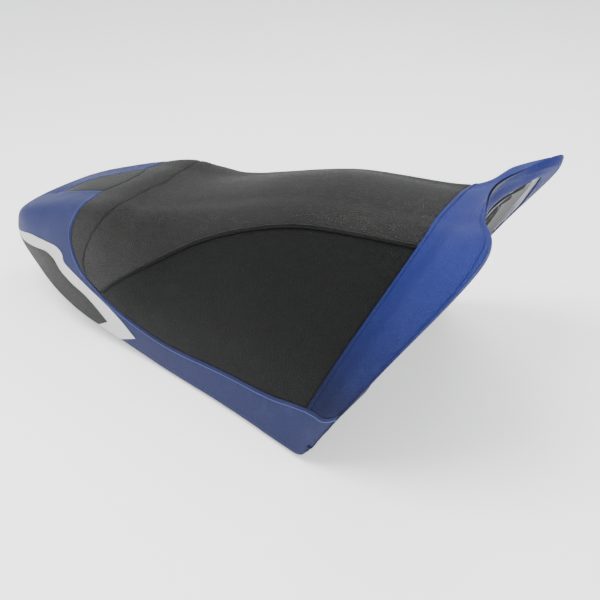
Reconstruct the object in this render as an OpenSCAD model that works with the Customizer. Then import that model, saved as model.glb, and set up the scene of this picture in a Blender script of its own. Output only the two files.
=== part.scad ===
// One-up straddle seat: a moulded pan, a foam cushion, a sewn cover of several panels, and a rear latch.
// +X is the front (hood end), +Y the rider's left, +Z up. The origin is under the middle of the seat,
// on the plane that the rubber feet stand on. Millimetres.

/* [Seat] */
// Length from tail to hood
seat_length = 868; // [780:1:960]
// Width across the front bottom corners
seat_width = 468; // [420:1:520]
// Height of the cover, from its bottom edge to the hood's shoulders
cover_height = 305; // [280:1:330]
// Height of the cover's bottom edge above the feet
foot_drop = 6; // [5:0.5:9]

/* [Cover] */
// Thickness of the sewn vinyl panels
vinyl = 1.8; // [1.4:0.1:2.4]
// Thickness of the flash and window appliques
applique = 0.6; // [0.4:0.1:0.9]
// Half of the gap along a plain seam
seam_gap = 0.8; // [0.6:0.1:1]
// Slack between the vinyl and the foam
slack = 2.1; // [2:0.1:2.4]
// Radius of the welt cord
piping_r = 2; // [1.6:0.1:2.4]
// Width of the strip that is turned under and stapled
turn_under = 16; // [12:1:18]
// Thickness of the lining fabric
lining = 1.2; // [0.8:0.1:1.6]

/* [Pan] */
// Thickness of the moulded pan
pan_wall = 4; // [3:0.5:5]
// Width of the pan's bottom lip
lip = 34; // [32:1:38]
// Thickness of the pan's bottom lip
lip_t = 4; // [3:0.5:5]

/* [Fittings] */
// Radius of a rubber foot
foot_r = 8; // [6:0.5:8.5]
// Radius of the bolt hole in each mounting tab
tab_hole_r = 4.3; // [3.3:0.1:5.3]
// Distance between the two tab holes
tab_spacing = 326; // [320:1:332]
// Thickness of the mounting tabs
tab_t = 3; // [2.5:0.5:3.5]
// Radius of the hook's pivot pin
pin_r = 4; // [3:0.5:5]
// Running clearance of the hook on its pin
pin_clear = 0.05; // [0.02:0.01:0.09]
// Thickness of the hook
hook_t = 5; // [4:0.5:6]
// Radius of the hook's mouth, which seats on the chassis bar
mouth_r = 5.2; // [4.2:0.1:5.4]

/* [Hidden] */

// ---- The seat's outer surface -------------------------------------------------------------------
// Ten stations from tail to hood. Each gives the bottom edge (x, y, z), the bulge of the side wall,
// the ridge where the side turns into the top (x, y, z), and the top centre's run forward and rise
// from the ridge. Reference size 868 x 468 x 305 mm.
STATIONS = [
    [-434,   0, 100,  0, -390,   0, 138,  42, 10],
    [-394,  60,  90,  7, -352,  80, 152,  40, 15],
    [-302, 105,  58, 11, -264, 100, 178,  16, 14],
    [-226, 128,  33, 14, -152, 116, 204,   0, 14],
    [-132, 142,  14, 16,  -90, 118, 203,  -2, 14],
    [ -24, 160,   0, 17,   -6, 103, 211,  -6, 22],
    [ 104, 190,   0, 20,  166,  96, 250,  -2, 32],
    [ 212, 220,   0, 26,  326,  98, 262,   6, 26],
    [ 246, 230,   4, 30,  376, 138, 287,   0, 10],
    [ 262, 234,  26, 28,  431, 168, 304, -44, 13]];
REF = [868, 468, 305];
SX = seat_length / REF[0];
SY = seat_width / REF[1];
SZ = cover_height / REF[2];
LAST = len(STATIONS) - 1;
// Columns that change sign from one side of the seat to the other
ACROSS = [0, 1, 0, 1, 0, 1, 0, 0, 0];
// Of the run and rise from ridge to centre, the parts reached half way across
MID_RUN = 0.62;
MID_RISE = 0.78;
ROWS = [for (r = STATIONS) [r[0] * SX, r[1] * SY, r[2] * SZ + foot_drop, r[3] * SY, r[4] * SX, r[5] * SY,
    r[6] * SZ + foot_drop, r[7] * SX, r[8] * SZ]];

// Smooth interpolation between b and c, with a and d as their neighbours
function smooth(a, b, c, d, f) =
    (2 * b + (c - a) * f + (2 * a - 5 * b + 4 * c - d) * f * f + (3 * b - a - 3 * c + d) * f * f * f) / 2;

// Row before the first: the seat mirrored through its tail
function before(rows) = [for (k = [0:8]) ACROSS[k] == 1 ? -rows[1][k]
    : k > 6 ? 2 * rows[0][k] - rows[1][k] : rows[1][k]];
// Any row of a station table, continued past both ends
function row(rows, i) = i < 0 ? before(rows)
    : i > LAST ? 2 * rows[LAST] - rows[LAST - 1] : rows[i];
// The section's nine numbers at station s, which need not be whole
function section(rows, s) = let(i = min(max(floor(s), 0), LAST - 1))
    smooth(row(rows, i - 1), row(rows, i), row(rows, i + 1), row(rows, i + 2), s - i);

// Control points of half a section, from below the bottom edge to past the centre
function net(g) = let(
        edge = [g[0], g[1], g[2]],
        ridge = [g[4], g[5], g[6]],
        wall = (edge + ridge) / 2 + [0, g[3], 0],
        mid = [g[4] + MID_RUN * g[7], g[5] / 2, g[6] + MID_RISE * g[8]],
        top = [g[4] + g[7], 0, g[6] + g[8]])
    [2 * edge - wall, edge, wall, ridge, mid, top, [mid[0], -mid[1], mid[2]]];

// Point of a table's surface at station s and reach t: 0 at the centre, 0.5 on the ridge, 1 at the
// bottom edge, negative on the right-hand side
function skin(rows, s, t) = let(
        n = net(section(rows, s)),
        u = 4 * (1 - abs(t)),
        i = min(floor(u), 3),
        p = smooth(n[i], n[i + 1], n[i + 2], n[i + 3], u - i))
    [p[0], t < 0 ? -p[1] : p[1], p[2]];
function unit(v) = v / norm(v);

// Steps used to measure slopes along s and t
DS = 0.02;
DT = 0.01;
function along_s(rows, s, t) = (skin(rows, min(s + DS, LAST), t) - skin(rows, max(s - DS, 0), t))
    / (min(s + DS, LAST) - max(s - DS, 0));
function along_t(rows, s, t) = (skin(rows, s, min(t + DT, 1)) - skin(rows, s, max(t - DT, -1)))
    / (min(t + DT, 1) - max(t - DT, -1));
// Outward direction; at the very tail, where the section has no width, that of a station just inside
function outward(rows, s, t) = let(q = max(s, 2 * DS))
    unit(cross(along_s(rows, q, t), along_t(rows, q, t)));
// Point at depth d below the surface, kept on the centre plane at the tail
function below(rows, s, t, d) = let(p = skin(rows, s, t) - d * outward(rows, s, t))
    s > 0 ? p : [p[0], 0, p[2]];

// Level inward direction at the bottom edge, square to its run; straight forward at the tail
function inward(rows, s, side) = let(v = along_s(rows, s, side))
    s > 0 ? side * unit([v[1], -v[0], 0]) : [1, 0, 0];

// ---- Seams, as [station, reach] knots on the left side ------------------------------------------
BAND_S = 7.05;
BAND_GAP = 0.015;
BAND_REACH = 0.875;
// Share of the lower seam that lies behind the front band
BAND_SHARE = 6 / 8;
HOOD_S = 9;
END_GAP = 0.08;
NECK_S = 3.5;
ARC_SEAM = [[3.55, 0], [3.45, 0.15], [3.38, 0.27], [3.3, 0.42], [3.14, 0.55], [3.05, 0.64],
    [3.1, 0.72], [3.3, 0.79]];
REAR_SEAM = [[2.68, 0], [2.62, 0.15], [2.52, 0.23], [2.53, 0.3], [2.56, 0.37], [2.57, 0.5], [2.6, 0.62],
    [2.78, 0.7], [3.05, 0.76], [3.3, 0.79]];
DECK_SEAM = [[0.5, 0], [0.7, 0.1], [1.3, 0.165], [2, 0.2], [2.52, 0.23]];
NECK_SEAM = [[3.3, 0.79], [3.5, 0.806], [3.7, 0.82]];
RIDGE_SEAM = [[3.7, 0.82], [3.92, 0.755], [4.25, 0.69], [4.8, 0.615], [5.35, 0.54], [5.9, 0.505],
    [6.5, 0.5], [7.05, 0.5]];
LOWER_SEAM = [[3.7, 0.825], [3.95, 0.845], [4.4, 0.872], [5, 0.895], [5.6, 0.9], [6.4, 0.9],
    [7.05, 0.88], [8, 0.88], [8.92, 0.89]];
FLASH_TOP = [[0.75, 0.885], [1.03, 0.84], [1.52, 0.735], [1.89, 0.716], [2.28, 0.71], [2.46, 0.72],
    [2.57, 0.74], [2.7, 0.783], [3.13, 0.815], [3.7, 0.848], [4.12, 0.888], [4.48, 0.942]];
FLASH_LOW = [[0.75, 0.99], [4.12, 0.99]];
WINDOW_TOP = [[1.02, 0.965], [1.2, 0.925], [1.58, 0.845], [2.06, 0.78], [2.34, 0.788], [2.46, 0.81],
    [2.62, 0.842], [2.95, 0.867], [3.34, 0.882], [3.63, 0.91], [3.89, 0.945]];
WINDOW_LOW = [[1.02, 0.985], [3.68, 0.985]];

function last(k) = k[len(k) - 1];
function reversed(k) = [for (i = [len(k) - 1:-1:0]) k[i]];
function mirrored(k) = [for (p = k) [p[0], -p[1]]];
function mirrored_pair(p) = [[p[0], -p[1]], p];
function tail_of(k) = [for (i = [1:len(k) - 1]) k[i]];
// A seam of the left side that starts on the centre, with its mirror image before it
function across(k) = concat(mirrored(reversed(k)), tail_of(k));
// Point at fraction f of a knot list, with equal shares for its spans
function at(k, f) = let(
        m = len(k) - 1,
        i = min(floor(f * m), m - 1),
        a = i > 0 ? k[i - 1] : 2 * k[0] - k[1],
        d = i < m - 1 ? k[i + 2] : 2 * k[m] - k[m - 1])
    smooth(a, k[i], k[i + 1], d, f * m - i);

// Knot p moved by d over the surface, to the left of the direction q in which the seam runs
function nudged(p, q, d) = let(
        a = along_s(ROWS, p[0], p[1]),
        b = along_t(ROWS, p[0], p[1]),
        move = d * cross(outward(ROWS, p[0], p[1]), unit(a * q[0] + b * q[1])),
        ma = a * move,
        mb = b * move)
    p + [(b * b) * ma - (a * b) * mb, (a * a) * mb - (a * b) * ma]
        / ((a * a) * (b * b) - (a * b) * (a * b));
function beside(k, d) = [for (i = [0:len(k) - 1])
    nudged(k[i], k[min(i + 1, len(k) - 1)] - k[max(i - 1, 0)], d)];

// Point of a panel bounded by four seams. Rear and front run from the right seam to the left seam.
function patch(rear, front, right, left, u, v) =
    at(rear, u) * (1 - v) + at(front, u) * v
        + (at(right, v) - rear[0] * (1 - v) - front[0] * v) * (1 - u)
        + (at(left, v) - last(rear) * (1 - v) - last(front) * v) * u;
// Grid of such points, with n[0] steps across and n[1] steps along
function patch_grid(rear, front, right, left, n) = [for (i = [0:n[1]]) [for (j = [0:n[0]])
    patch(rear, front, right, left, j / n[0], i / n[1])]];
// The grid's points at depth d
function sunk(grid, d) = [for (r = grid) [for (k = r) below(ROWS, k[0], k[1], d)]];

// ---- Solids from grids --------------------------------------------------------------------------
// Closed solid between two grids of points. Fold joins the two halves of the first row, where the
// tail has no width.
module slab(outer, inner, fold = false) {
    rows = len(outer) - 1;
    cols = len(outer[0]) - 1;
    count = (rows + 1) * (cols + 1);
    function id(i, j) = i * (cols + 1) + (fold && i == 0 ? min(j, cols - j) : j);
    function wall(p, q) = [[p, q, q + count], [p, q + count, p + count]];
    faces = concat(
        [for (i = [0:rows - 1]) for (j = [0:cols - 1]) for (f = [
            [id(i, j), id(i, j + 1), id(i + 1, j + 1)],
            [id(i, j), id(i + 1, j + 1), id(i + 1, j)]]) f],
        [for (i = [0:rows - 1]) for (j = [0:cols - 1]) for (f = [
            [id(i, j) + count, id(i + 1, j + 1) + count, id(i, j + 1) + count],
            [id(i, j) + count, id(i + 1, j) + count, id(i + 1, j + 1) + count]]) f],
        [for (i = [0:rows - 1]) each wall(id(i, 0), id(i + 1, 0))],
        [for (i = [0:rows - 1]) each wall(id(i + 1, cols), id(i, cols))],
        [for (j = [0:cols - 1]) each wall(id(rows, j), id(rows, j + 1))],
        fold ? [] : [for (j = [0:cols - 1]) each wall(id(0, j + 1), id(0, j))]);
    polyhedron(concat([for (r = outer) each r], [for (r = inner) each r]),
        [for (f = faces) if (f[0] != f[1] && f[1] != f[2] && f[0] != f[2]) f]);
}

// Sewn panel between two depths
module panel(grid, top = 0, bottom = vinyl) {
    slab(sunk(grid, top), sunk(grid, bottom));
}

// Round cord along a path; side and up hold two square directions for each of its points
module cord(path, side, up, r, sides = 8) {
    n = len(path);
    faces = concat(
        [for (k = [0:n - 2]) for (a = [0:sides - 1]) let(b = (a + 1) % sides) for (f = [
            [k * sides + a, k * sides + b, (k + 1) * sides + b],
            [k * sides + a, (k + 1) * sides + b, (k + 1) * sides + a]]) f],
        [for (a = [1:sides - 2]) for (f = [
            [0, a + 1, a],
            [(n - 1) * sides, (n - 1) * sides + a, (n - 1) * sides + a + 1]]) f]);
    polyhedron([for (k = [0:n - 1]) for (a = [0:sides - 1])
        path[k] + r * (cos(a * 360 / sides) * side[k] + sin(a * 360 / sides) * up[k])], faces);
}
module other_side() {
    mirror([0, 1, 0]) children();
}

// ---- Pan and foam -------------------------------------------------------------------------------
// Foam at each station: thickness at the bottom edge, beside the ridge, and under the top
FOAM = [[11, 12, 22], [11, 15, 27], [9, 20, 42], [9, 26, 62], [9, 30, 72], [9, 30, 80], [9, 26, 78],
    [9, 20, 50], [10, 15, 26], [11, 13, 15]];
// Share of the edge thickness that is taken lengthways at the first two stations
TAIL_SHARE = [1, 0.4];
// Gap between the foam and the pan, and between the lining and the foam
CLEAR = 1.2;
// Height of the pan's lip above the cover's bottom edge
LIP_Z = vinyl + 1.8;
// Depth of the foam's outer face below the cover's
FOAM_DEPTH = vinyl + slack;
// Front end of the pan: on its top, and on the lobes low at both sides
PAN_S = 8.4;
LOBE_S = 8.92;
LOBE_REACH = [0.7, 0.8];
LOBE_FROM_S = 7.5;
// Stations of the tail, where the plan curves most
TAIL_STATIONS = [0, 0.12, 0.25, 0.4, 0.55, 0.7, 0.85, 1, 1.25, 1.5, 1.75, 2];
// Flat pad under the rear of the pan, for the latch
PAD_Z = 144;
PAD_S = [2.05, 2.75];
PAD_REACH = 0.26;

// Station table of the pan's outer face, lowered by g
function pan_rows(g) = [for (i = [0:LAST]) let(
        r = ROWS[i],
        edge = FOAM[i][0] + g,
        x = i < len(TAIL_SHARE) ? TAIL_SHARE[i] * edge : 0)
    [r[0] + x, max(r[1] - edge, 0), r[2] + LIP_Z, r[3], r[4] + x, max(r[5] - FOAM[i][1] - g, 0),
        r[6] - FOAM[i][2] - g, r[7], r[8]]];
PAN = pan_rows(0);
FOAM_IN = pan_rows(-CLEAR);
REACH_STEPS = 12;
REACHES = [for (j = [-REACH_STEPS:REACH_STEPS]) j / REACH_STEPS];
function steps(a, b, n) = [for (i = [0:n]) a + (b - a) * i / n];

// Corner of the bottom edge, moved in and up; w is its inward run
function corner(rows, s, side, w, up) = let(e = skin(rows, s, side) + w * inward(rows, s, side))
    [e[0], s > 0 ? e[1] : 0, e[2] + up];

function foam_outer(s, t) = abs(t) == 1 ? corner(ROWS, s, t, FOAM_DEPTH, FOAM_DEPTH)
    : below(ROWS, s, t, FOAM_DEPTH);
module foam_cushion() {
    stations = concat(TAIL_STATIONS, steps(2.25, PAN_S, 22), steps(PAN_S + 0.15, HOOD_S - END_GAP, 3));
    color([0.86, 0.8, 0.55])
        slab([for (s = stations) [for (t = REACHES) foam_outer(s, t)]],
            [for (s = stations) [for (t = REACHES) below(FOAM_IN, s, t, 0)]], fold = true);
}

// The pan reaches further forward in the lobes
function lobe(t) = min(max((abs(t) - LOBE_REACH[0]) / (LOBE_REACH[1] - LOBE_REACH[0]), 0), 1);
function pan_s(s, t) = s + max(0, s - LOBE_FROM_S) / (PAN_S - LOBE_FROM_S) * lobe(t) * (LOBE_S - PAN_S);
function on_pad(s, t) = s > PAD_S[0] && s < PAD_S[1] && abs(t) < PAD_REACH;
// Inward run of the lip's heel, longer where the nose slopes
function heel(s) = pan_wall + 1 + 8 * max(0, 1.5 - s);
function pan_inner(s, t) = let(p = below(PAN, s, t, pan_wall))
    abs(t) == 1 ? corner(PAN, s, t, heel(s), lip_t) : on_pad(s, t) ? [p[0], p[1], PAD_Z] : p;
// One section of the pan: its lip's tip on the right, the wall, and the lip's tip on the left
function pan_section(s, wall_point, up) = concat(
    [corner(PAN, pan_s(s, 1), -1, lip, up)], wall_point, [corner(PAN, pan_s(s, 1), 1, lip, up)]);
module base_pan() {
    stations = concat(TAIL_STATIONS, steps(2.25, PAN_S, 22));
    color([0.09, 0.09, 0.09])
        slab([for (s = stations) pan_section(s, [for (t = REACHES) below(PAN, pan_s(s, t), t, 0)], 0)],
            [for (s = stations) pan_section(s, [for (t = REACHES) pan_inner(pan_s(s, t), t)], lip_t)],
            fold = true);
}

// ---- Cover --------------------------------------------------------------------------------------
BLACK = [0.2, 0.2, 0.19];
DARK = [0.12, 0.12, 0.12];
BLUE = [0.2, 0.28, 0.58];
GREY = [0.3, 0.3, 0.28];
WHITE = [0.88, 0.89, 0.88];
// Steps across and along each panel
TOP_GRID = [26, 22];
BOLSTER_GRID = [36, 5];
SIDE_GRID = [9, 21];
FRONT_GRID = [32, 9];
CAP_GRID = [26, 16];
SIDE_BAND_GRID = [26, 4];
DECK_GRID = [12, 12];
FLASH_GRID = [4, 26];
WINDOW_GRID = [4, 20];

module top_panel() {
    left = beside(concat([NECK_SEAM[0], NECK_SEAM[1]], RIDGE_SEAM), -piping_r * 1.2);
    color(BLACK)
        panel(patch_grid(beside(across(ARC_SEAM), -seam_gap), [[BAND_S, -0.5], [BAND_S, 0.5]],
            mirrored(left), left, TOP_GRID));
}
// The same seam with its two end knots moved to the points p and -p
function ended(k, p) = [for (i = [0:len(k) - 1]) i == 0 ? [p[0], -p[1]] : i == len(k) - 1 ? p : k[i]];
module bolster_panel() {
    tip = [[3.25, 0.782], [3.27, 0.786]];
    color(BLACK)
        panel(patch_grid(ended(beside(across(REAR_SEAM), -seam_gap), tip[0]),
            ended(beside(across(ARC_SEAM), seam_gap), tip[1]), mirrored(tip), tip, BOLSTER_GRID));
}
module side_panel() {
    upper = beside(RIDGE_SEAM, piping_r);
    lower = beside([for (i = [0:7]) at(LOWER_SEAM, BAND_SHARE * i / 7)], -seam_gap);
    front = [BAND_S - BAND_GAP, last(lower)[1]];
    right = concat([for (i = [0:len(upper) - 2]) upper[i]], [[front[0], last(upper)[1]]]);
    left = concat([for (i = [0:len(lower) - 2]) lower[i]], [front]);
    color(DARK) panel(patch_grid([right[0], left[0]], [last(right), front], right, left, SIDE_GRID));
}
module side_panel_left() {
    side_panel();
}
module side_panel_right() {
    other_side() side_panel();
}
module front_band() {
    left = [for (s = [BAND_S + BAND_GAP, 7.7, 8.3, HOOD_S - END_GAP]) [s, BAND_REACH]];
    front = last(left);
    color(BLUE)
        panel(patch_grid(mirrored_pair(left[0]), mirrored_pair(front), mirrored(left), left, FRONT_GRID));
}
// The hem: how far it stands before the rim, how far down the sides it runs, and its steps a side
HEM_AHEAD = 3.2;
HEM_REACH = 0.995;
HEM_STEPS = 30;
module rim_hem() {
    reaches = [for (j = [-HEM_STEPS:HEM_STEPS]) j / HEM_STEPS * HEM_REACH];
    depths = [HEM_AHEAD, HEM_AHEAD + vinyl];
    function forward(t) = unit(cross(along_t(ROWS, HOOD_S, t), outward(ROWS, HOOD_S, t)));
    function outer(t, d) = skin(ROWS, HOOD_S, t) + d * forward(t);
    function inner(t, d) = below(FOAM_IN, HOOD_S, t, lining + CLEAR) + d * forward(t);
    color(BLUE)
        slab([for (d = depths) [for (t = reaches) outer(t, d)]],
            [for (d = depths) [for (t = reaches) inner(t, d)]]);
}
module front_lining() {
    reaches = [for (j = [-10:10]) j / 10 * LOBE_REACH[0]];
    stations = steps(PAN_S + 0.06, HOOD_S - END_GAP, 5);
    color([0.45, 0.45, 0.47])
        slab([for (s = stations) [for (t = reaches) below(FOAM_IN, s, t, CLEAR)]],
            [for (s = stations) [for (t = reaches) below(FOAM_IN, s, t, CLEAR + lining)]]);
}
// Width of the strip that is turned under, half as wide before the pan's front corner
CORNER_S = 8.3;
function edge_width(s) = s < CORNER_S ? turn_under : turn_under / 2;
// Blue band on a grid of knots, with the strip that is turned under the pan's lip
module turned_panel(grid) {
    first = grid[0];
    tips = [for (up = [0, vinyl]) [for (k = first) corner(ROWS, k[0], k[1], edge_width(k[0]), up)]];
    edge = [for (k = first) corner(ROWS, k[0], k[1], vinyl, vinyl)];
    rest = tail_of(grid);
    slab(concat([tips[0]], [[for (k = first) skin(ROWS, k[0], k[1])]], sunk(rest, 0)),
        concat([tips[1]], [edge], sunk(rest, vinyl)));
}
// Knot of the deck seam just short of its corner, which keeps that corner sharp
BY_CORNER = [2.5, 0.228];
module tail_cap() {
    centre = [[0, 1], [0, 0.66], [0, 0.33], [0, 0], DECK_SEAM[0]];
    seam = concat([for (i = [0:3]) DECK_SEAM[i]], [BY_CORNER, last(DECK_SEAM)],
        [for (i = [3:len(REAR_SEAM) - 1]) REAR_SEAM[i]], [NECK_SEAM[1]]);
    upper = beside(seam, seam_gap);
    neck = [NECK_S - 0.01, 1];
    half = patch_grid([[0, 1], neck], concat([DECK_SEAM[0]], tail_of(upper)), centre, [neck, last(upper)],
        CAP_GRID);
    color(BLUE)
        turned_panel([for (r = half) concat([for (k = reversed(r)) [k[0], -k[1]]], tail_of(r))]);
}
module side_band() {
    upper = beside(concat([NECK_SEAM[1]], LOWER_SEAM), seam_gap);
    lower = [for (i = [0:len(upper) - 1]) [i == 0 ? NECK_S : upper[i][0], 1]];
    grid = patch_grid(lower, upper, [lower[0], upper[0]], [last(lower), last(upper)], SIDE_BAND_GRID);
    color(BLUE) other_side() turned_panel([for (r = grid) [for (k = reversed(r)) [k[0], -k[1]]]]);
}
module side_band_left() {
    side_band();
}
module side_band_right() {
    other_side() side_band();
}
module tail_deck_panel() {
    tip = DECK_SEAM[0] + [0.05, 0.015];
    side = beside(DECK_SEAM, -seam_gap);
    front = beside(across([for (i = [0:2]) REAR_SEAM[i]]), seam_gap);
    met = nudged(last(front), [1, 0], -seam_gap);
    left = [for (i = [0:len(side) - 1]) i == 0 ? tip : i == len(side) - 1 ? met : side[i]];
    color(GREY)
        panel(patch_grid(mirrored_pair(tip), ended(front, met), mirrored(left), left, DECK_GRID));
}
// Appliques lie on the blue band, the window over the flash, each lifted by its glue
LIFT = 0.4;
module flash() {
    color(WHITE) panel(patch_grid([FLASH_TOP[0], FLASH_LOW[0]], [last(FLASH_TOP), last(FLASH_LOW)],
        FLASH_TOP, FLASH_LOW, FLASH_GRID), -applique - LIFT, -LIFT);
}
module flash_left() {
    flash();
}
module flash_right() {
    other_side() flash();
}
module window() {
    color(GREY) panel(patch_grid([WINDOW_TOP[0], WINDOW_LOW[0]], [last(WINDOW_TOP), last(WINDOW_LOW)],
        WINDOW_TOP, WINDOW_LOW, WINDOW_GRID), -2 * (applique + LIFT), -applique - 2 * LIFT);
}
module window_left() {
    window();
}
module window_right() {
    other_side() window();
}
module piping() {
    n = 40;
    knots = [for (i = [0:n]) at(RIDGE_SEAM, 0.1 + 0.895 * i / n)];
    normals = [for (k = knots) outward(ROWS, k[0], k[1])];
    path = [for (i = [0:n]) skin(ROWS, knots[i][0], knots[i][1]) - 0.6 * piping_r * normals[i]];
    runs = [for (i = [0:n]) unit(path[min(i + 1, n)] - path[max(i - 1, 0)])];
    color(DARK) cord(path, [for (i = [0:n]) cross(normals[i], runs[i])], normals, piping_r * 0.9);
}
module piping_left() {
    piping();
}
module piping_right() {
    other_side() piping();
}

// ---- Fixings under the lip ----------------------------------------------------------------------
STEEL = [0.62, 0.63, 0.65];
STAPLE_S = [for (s = [0.35:0.35:8.2]) s];
STAPLE_IN = 13;
staple_w = 10;
staple_wire = 0.7;
staple_leg = 5;
module staple() {
    translate([0, staple_wire / 2, 0]) rotate([90, 0, 0]) linear_extrude(staple_wire) difference() {
        translate([-staple_w / 2, -staple_wire]) square([staple_w, staple_leg + staple_wire]);
        translate([-staple_w / 2 + staple_wire, 0]) square([staple_w - 2 * staple_wire, staple_leg + 1]);
    }
}
module cover_staples() {
    color(STEEL) for (side = [-1, 1]) for (s = STAPLE_S) {
        v = along_s(ROWS, s, side);
        translate(corner(ROWS, s, side, STAPLE_IN, 0))
            rotate([0, 0, atan2(v[1], v[0])]) rotate([0, -atan2(v[2], norm([v[0], v[1]])), 0]) staple();
    }
}

FOOT_S = [4.3, 5.5, 7.3];
FOOT_IN = lip - foot_r - 2;
FOOT_GAP = 1.4;
module rubber_feet() {
    color(DARK) for (side = [-1, 1]) for (s = FOOT_S) {
        p = corner(PAN, s, side, FOOT_IN, 0);
        translate([p[0], p[1], 0]) cylinder(r = foot_r, h = p[2] - FOOT_GAP, $fn = 48);
    }
}

TAB_X = 200;
TAB_Z = 8.6;
TAB_W = 30;
TAB_RUN = [146, 195.5];
RIVET_Y = 189;
RIVET_PITCH = 16;
rivet_r = 2.4;
rivet_head_r = 4.5;
rivet_head_t = 1.4;
rivet_clear = 0.1;
module mount_tab() {
    color(STEEL) difference() {
        translate([TAB_X - TAB_W / 2, TAB_RUN[0], TAB_Z - tab_t])
            cube([TAB_W, TAB_RUN[1] - TAB_RUN[0], tab_t]);
        translate([TAB_X, tab_spacing / 2, TAB_Z - tab_t - 1])
            cylinder(r = tab_hole_r, h = tab_t + 2, $fn = 64);
        for (x = [-0.5, 0.5]) translate([TAB_X + x * RIVET_PITCH, RIVET_Y, TAB_Z - tab_t - 1])
            cylinder(r = rivet_r + rivet_clear, h = tab_t + 2, $fn = 32);
    }
}
module mount_tab_left() {
    mount_tab();
}
module mount_tab_right() {
    other_side() mount_tab();
}
// Rivet with its head downwards at the origin and its shank upwards
module rivet(length) {
    translate([0, 0, -rivet_head_t]) cylinder(r = rivet_head_r, h = rivet_head_t, $fn = 32);
    cylinder(r = rivet_r, h = length, $fn = 32);
}
module tab_rivets() {
    color(STEEL) for (side = [-1, 1]) for (x = [-0.5, 0.5])
        translate([TAB_X + x * RIVET_PITCH, side * RIVET_Y, TAB_Z - tab_t]) rivet(tab_t + lip_t);
}

// ---- Rear latch ---------------------------------------------------------------------------------
LATCH_X = -210;
PIVOT_Z = 112;
plate = 2.5;
base_l = 54;
base_w = 52;
cheek_in = 13;
cheek_r = 12;
LATCH_RIVETS = [[-20, 20.5], [20, 20.5], [-20, -20.5], [20, -20.5]];
module latch_bracket() {
    drop = PAD_Z - plate - PIVOT_Z;
    color(STEEL) difference() {
        union() {
            translate([LATCH_X - base_l / 2, -base_w / 2, PAD_Z - plate]) cube([base_l, base_w, plate]);
            for (y = [-cheek_in - plate, cheek_in]) {
                translate([LATCH_X - cheek_r, y, PIVOT_Z]) cube([2 * cheek_r, plate, drop + plate / 2]);
                translate([LATCH_X, y + plate, PIVOT_Z]) rotate([90, 0, 0])
                    cylinder(r = cheek_r, h = plate, $fn = 64);
            }
        }
        translate([LATCH_X, base_w, PIVOT_Z]) rotate([90, 0, 0])
            cylinder(r = pin_r + 0.02, h = 2 * base_w, $fn = 64);
        for (p = LATCH_RIVETS) translate([LATCH_X + p[0], p[1], PAD_Z - plate - 1])
            cylinder(r = rivet_r + rivet_clear, h = plate + 2, $fn = 32);
    }
}
module latch_rivets() {
    color(STEEL) for (p = LATCH_RIVETS)
        translate([LATCH_X + p[0], p[1], PAD_Z - plate]) rivet(plate + pan_wall);
}
module latch_pin() {
    half = cheek_in + plate;
    color(STEEL) translate([LATCH_X, 0, PIVOT_Z]) rotate([90, 0, 0]) {
        cylinder(r = pin_r, h = 2 * half + 1, center = true, $fn = 64);
        for (z = [-half - 2.1, half + 0.1]) translate([0, 0, z]) cylinder(r = pin_r + 2.5, h = 2, $fn = 48);
    }
}

// The hook: hub, shank and claw, with the mouth open to the front
hub_r = 9;
shank_w = 12;
MOUTH = [5.5, -36];
CLAW = [[-6, 0], [-6, -40], [2, -49], [12, -47], [14, -41.5], [12, -30], [6, -24], [6, 0]];
ARM = [[-60, -9], [-62, -3], [-60, 1], [0, 5], [0, -7]];
module hook_profile() {
    difference() {
        union() {
            polygon(CLAW);
            polygon(ARM);
        }
        translate(MOUTH) circle(r = mouth_r, $fn = 64);
        translate([MOUTH[0], MOUTH[1] - mouth_r]) square([12, 2 * mouth_r]);
    }
}
module latch_hook() {
    color(STEEL) translate([LATCH_X, 0, PIVOT_Z]) rotate([90, 0, 0]) difference() {
        union() {
            translate([0, 0, -hook_t / 2]) linear_extrude(hook_t) hook_profile();
            translate([0, 0, -hook_t / 2]) cylinder(r = hub_r, h = cheek_in + hook_t / 2 - 0.4, $fn = 64);
        }
        translate([0, 0, -cheek_in]) cylinder(r = pin_r + pin_clear, h = 3 * cheek_in, $fn = 64);
    }
}

// Torsion spring round the pin, beside the hook, with a leg up to the bracket and one along the arm
spring_wire = 0.9;
spring_r = 6.4;
spring_turns = 4;
spring_y = [4.2, 11.6];
module latch_spring() {
    per_turn = 16;
    n = spring_turns * per_turn;
    path = [for (i = [0:n]) let(a = 90 + 360 * i / per_turn) [LATCH_X + spring_r * cos(a),
        spring_y[0] + (spring_y[1] - spring_y[0]) * i / n, PIVOT_Z + spring_r * sin(a)]];
    legs = concat([path[0] + [-26, 0, -2]], path, [last(path) + [20, 0, 0]]);
    m = len(legs) - 1;
    runs = [for (i = [0:m]) unit(legs[min(i + 1, m)] - legs[max(i - 1, 0)])];
    side = [for (r = runs) unit(cross(r, [0, 1, 0]))];
    color(STEEL) cord(legs, side, [for (i = [0:m]) cross(side[i], runs[i])], spring_wire, 6);
}

// Moulded grip over the end of the arm
pull_size = [30, 22, 16];
pull_over = 14;
module latch_pull() {
    end = [LATCH_X - 60 + pull_over, 0, PIVOT_Z - 4];
    color(DARK) difference() {
        translate(end - [pull_size[0], pull_size[1] / 2, pull_size[2] / 2]) cube(pull_size);
        translate([LATCH_X, 0, PIVOT_Z]) rotate([90, 0, 0]) translate([0, 0, -hook_t / 2 - 0.1])
            linear_extrude(hook_t + 0.2) polygon([[-62.2, -9.3], [-62.2, 1.2], [0, 5.3], [0, -7.3]]);
    }
}

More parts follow.
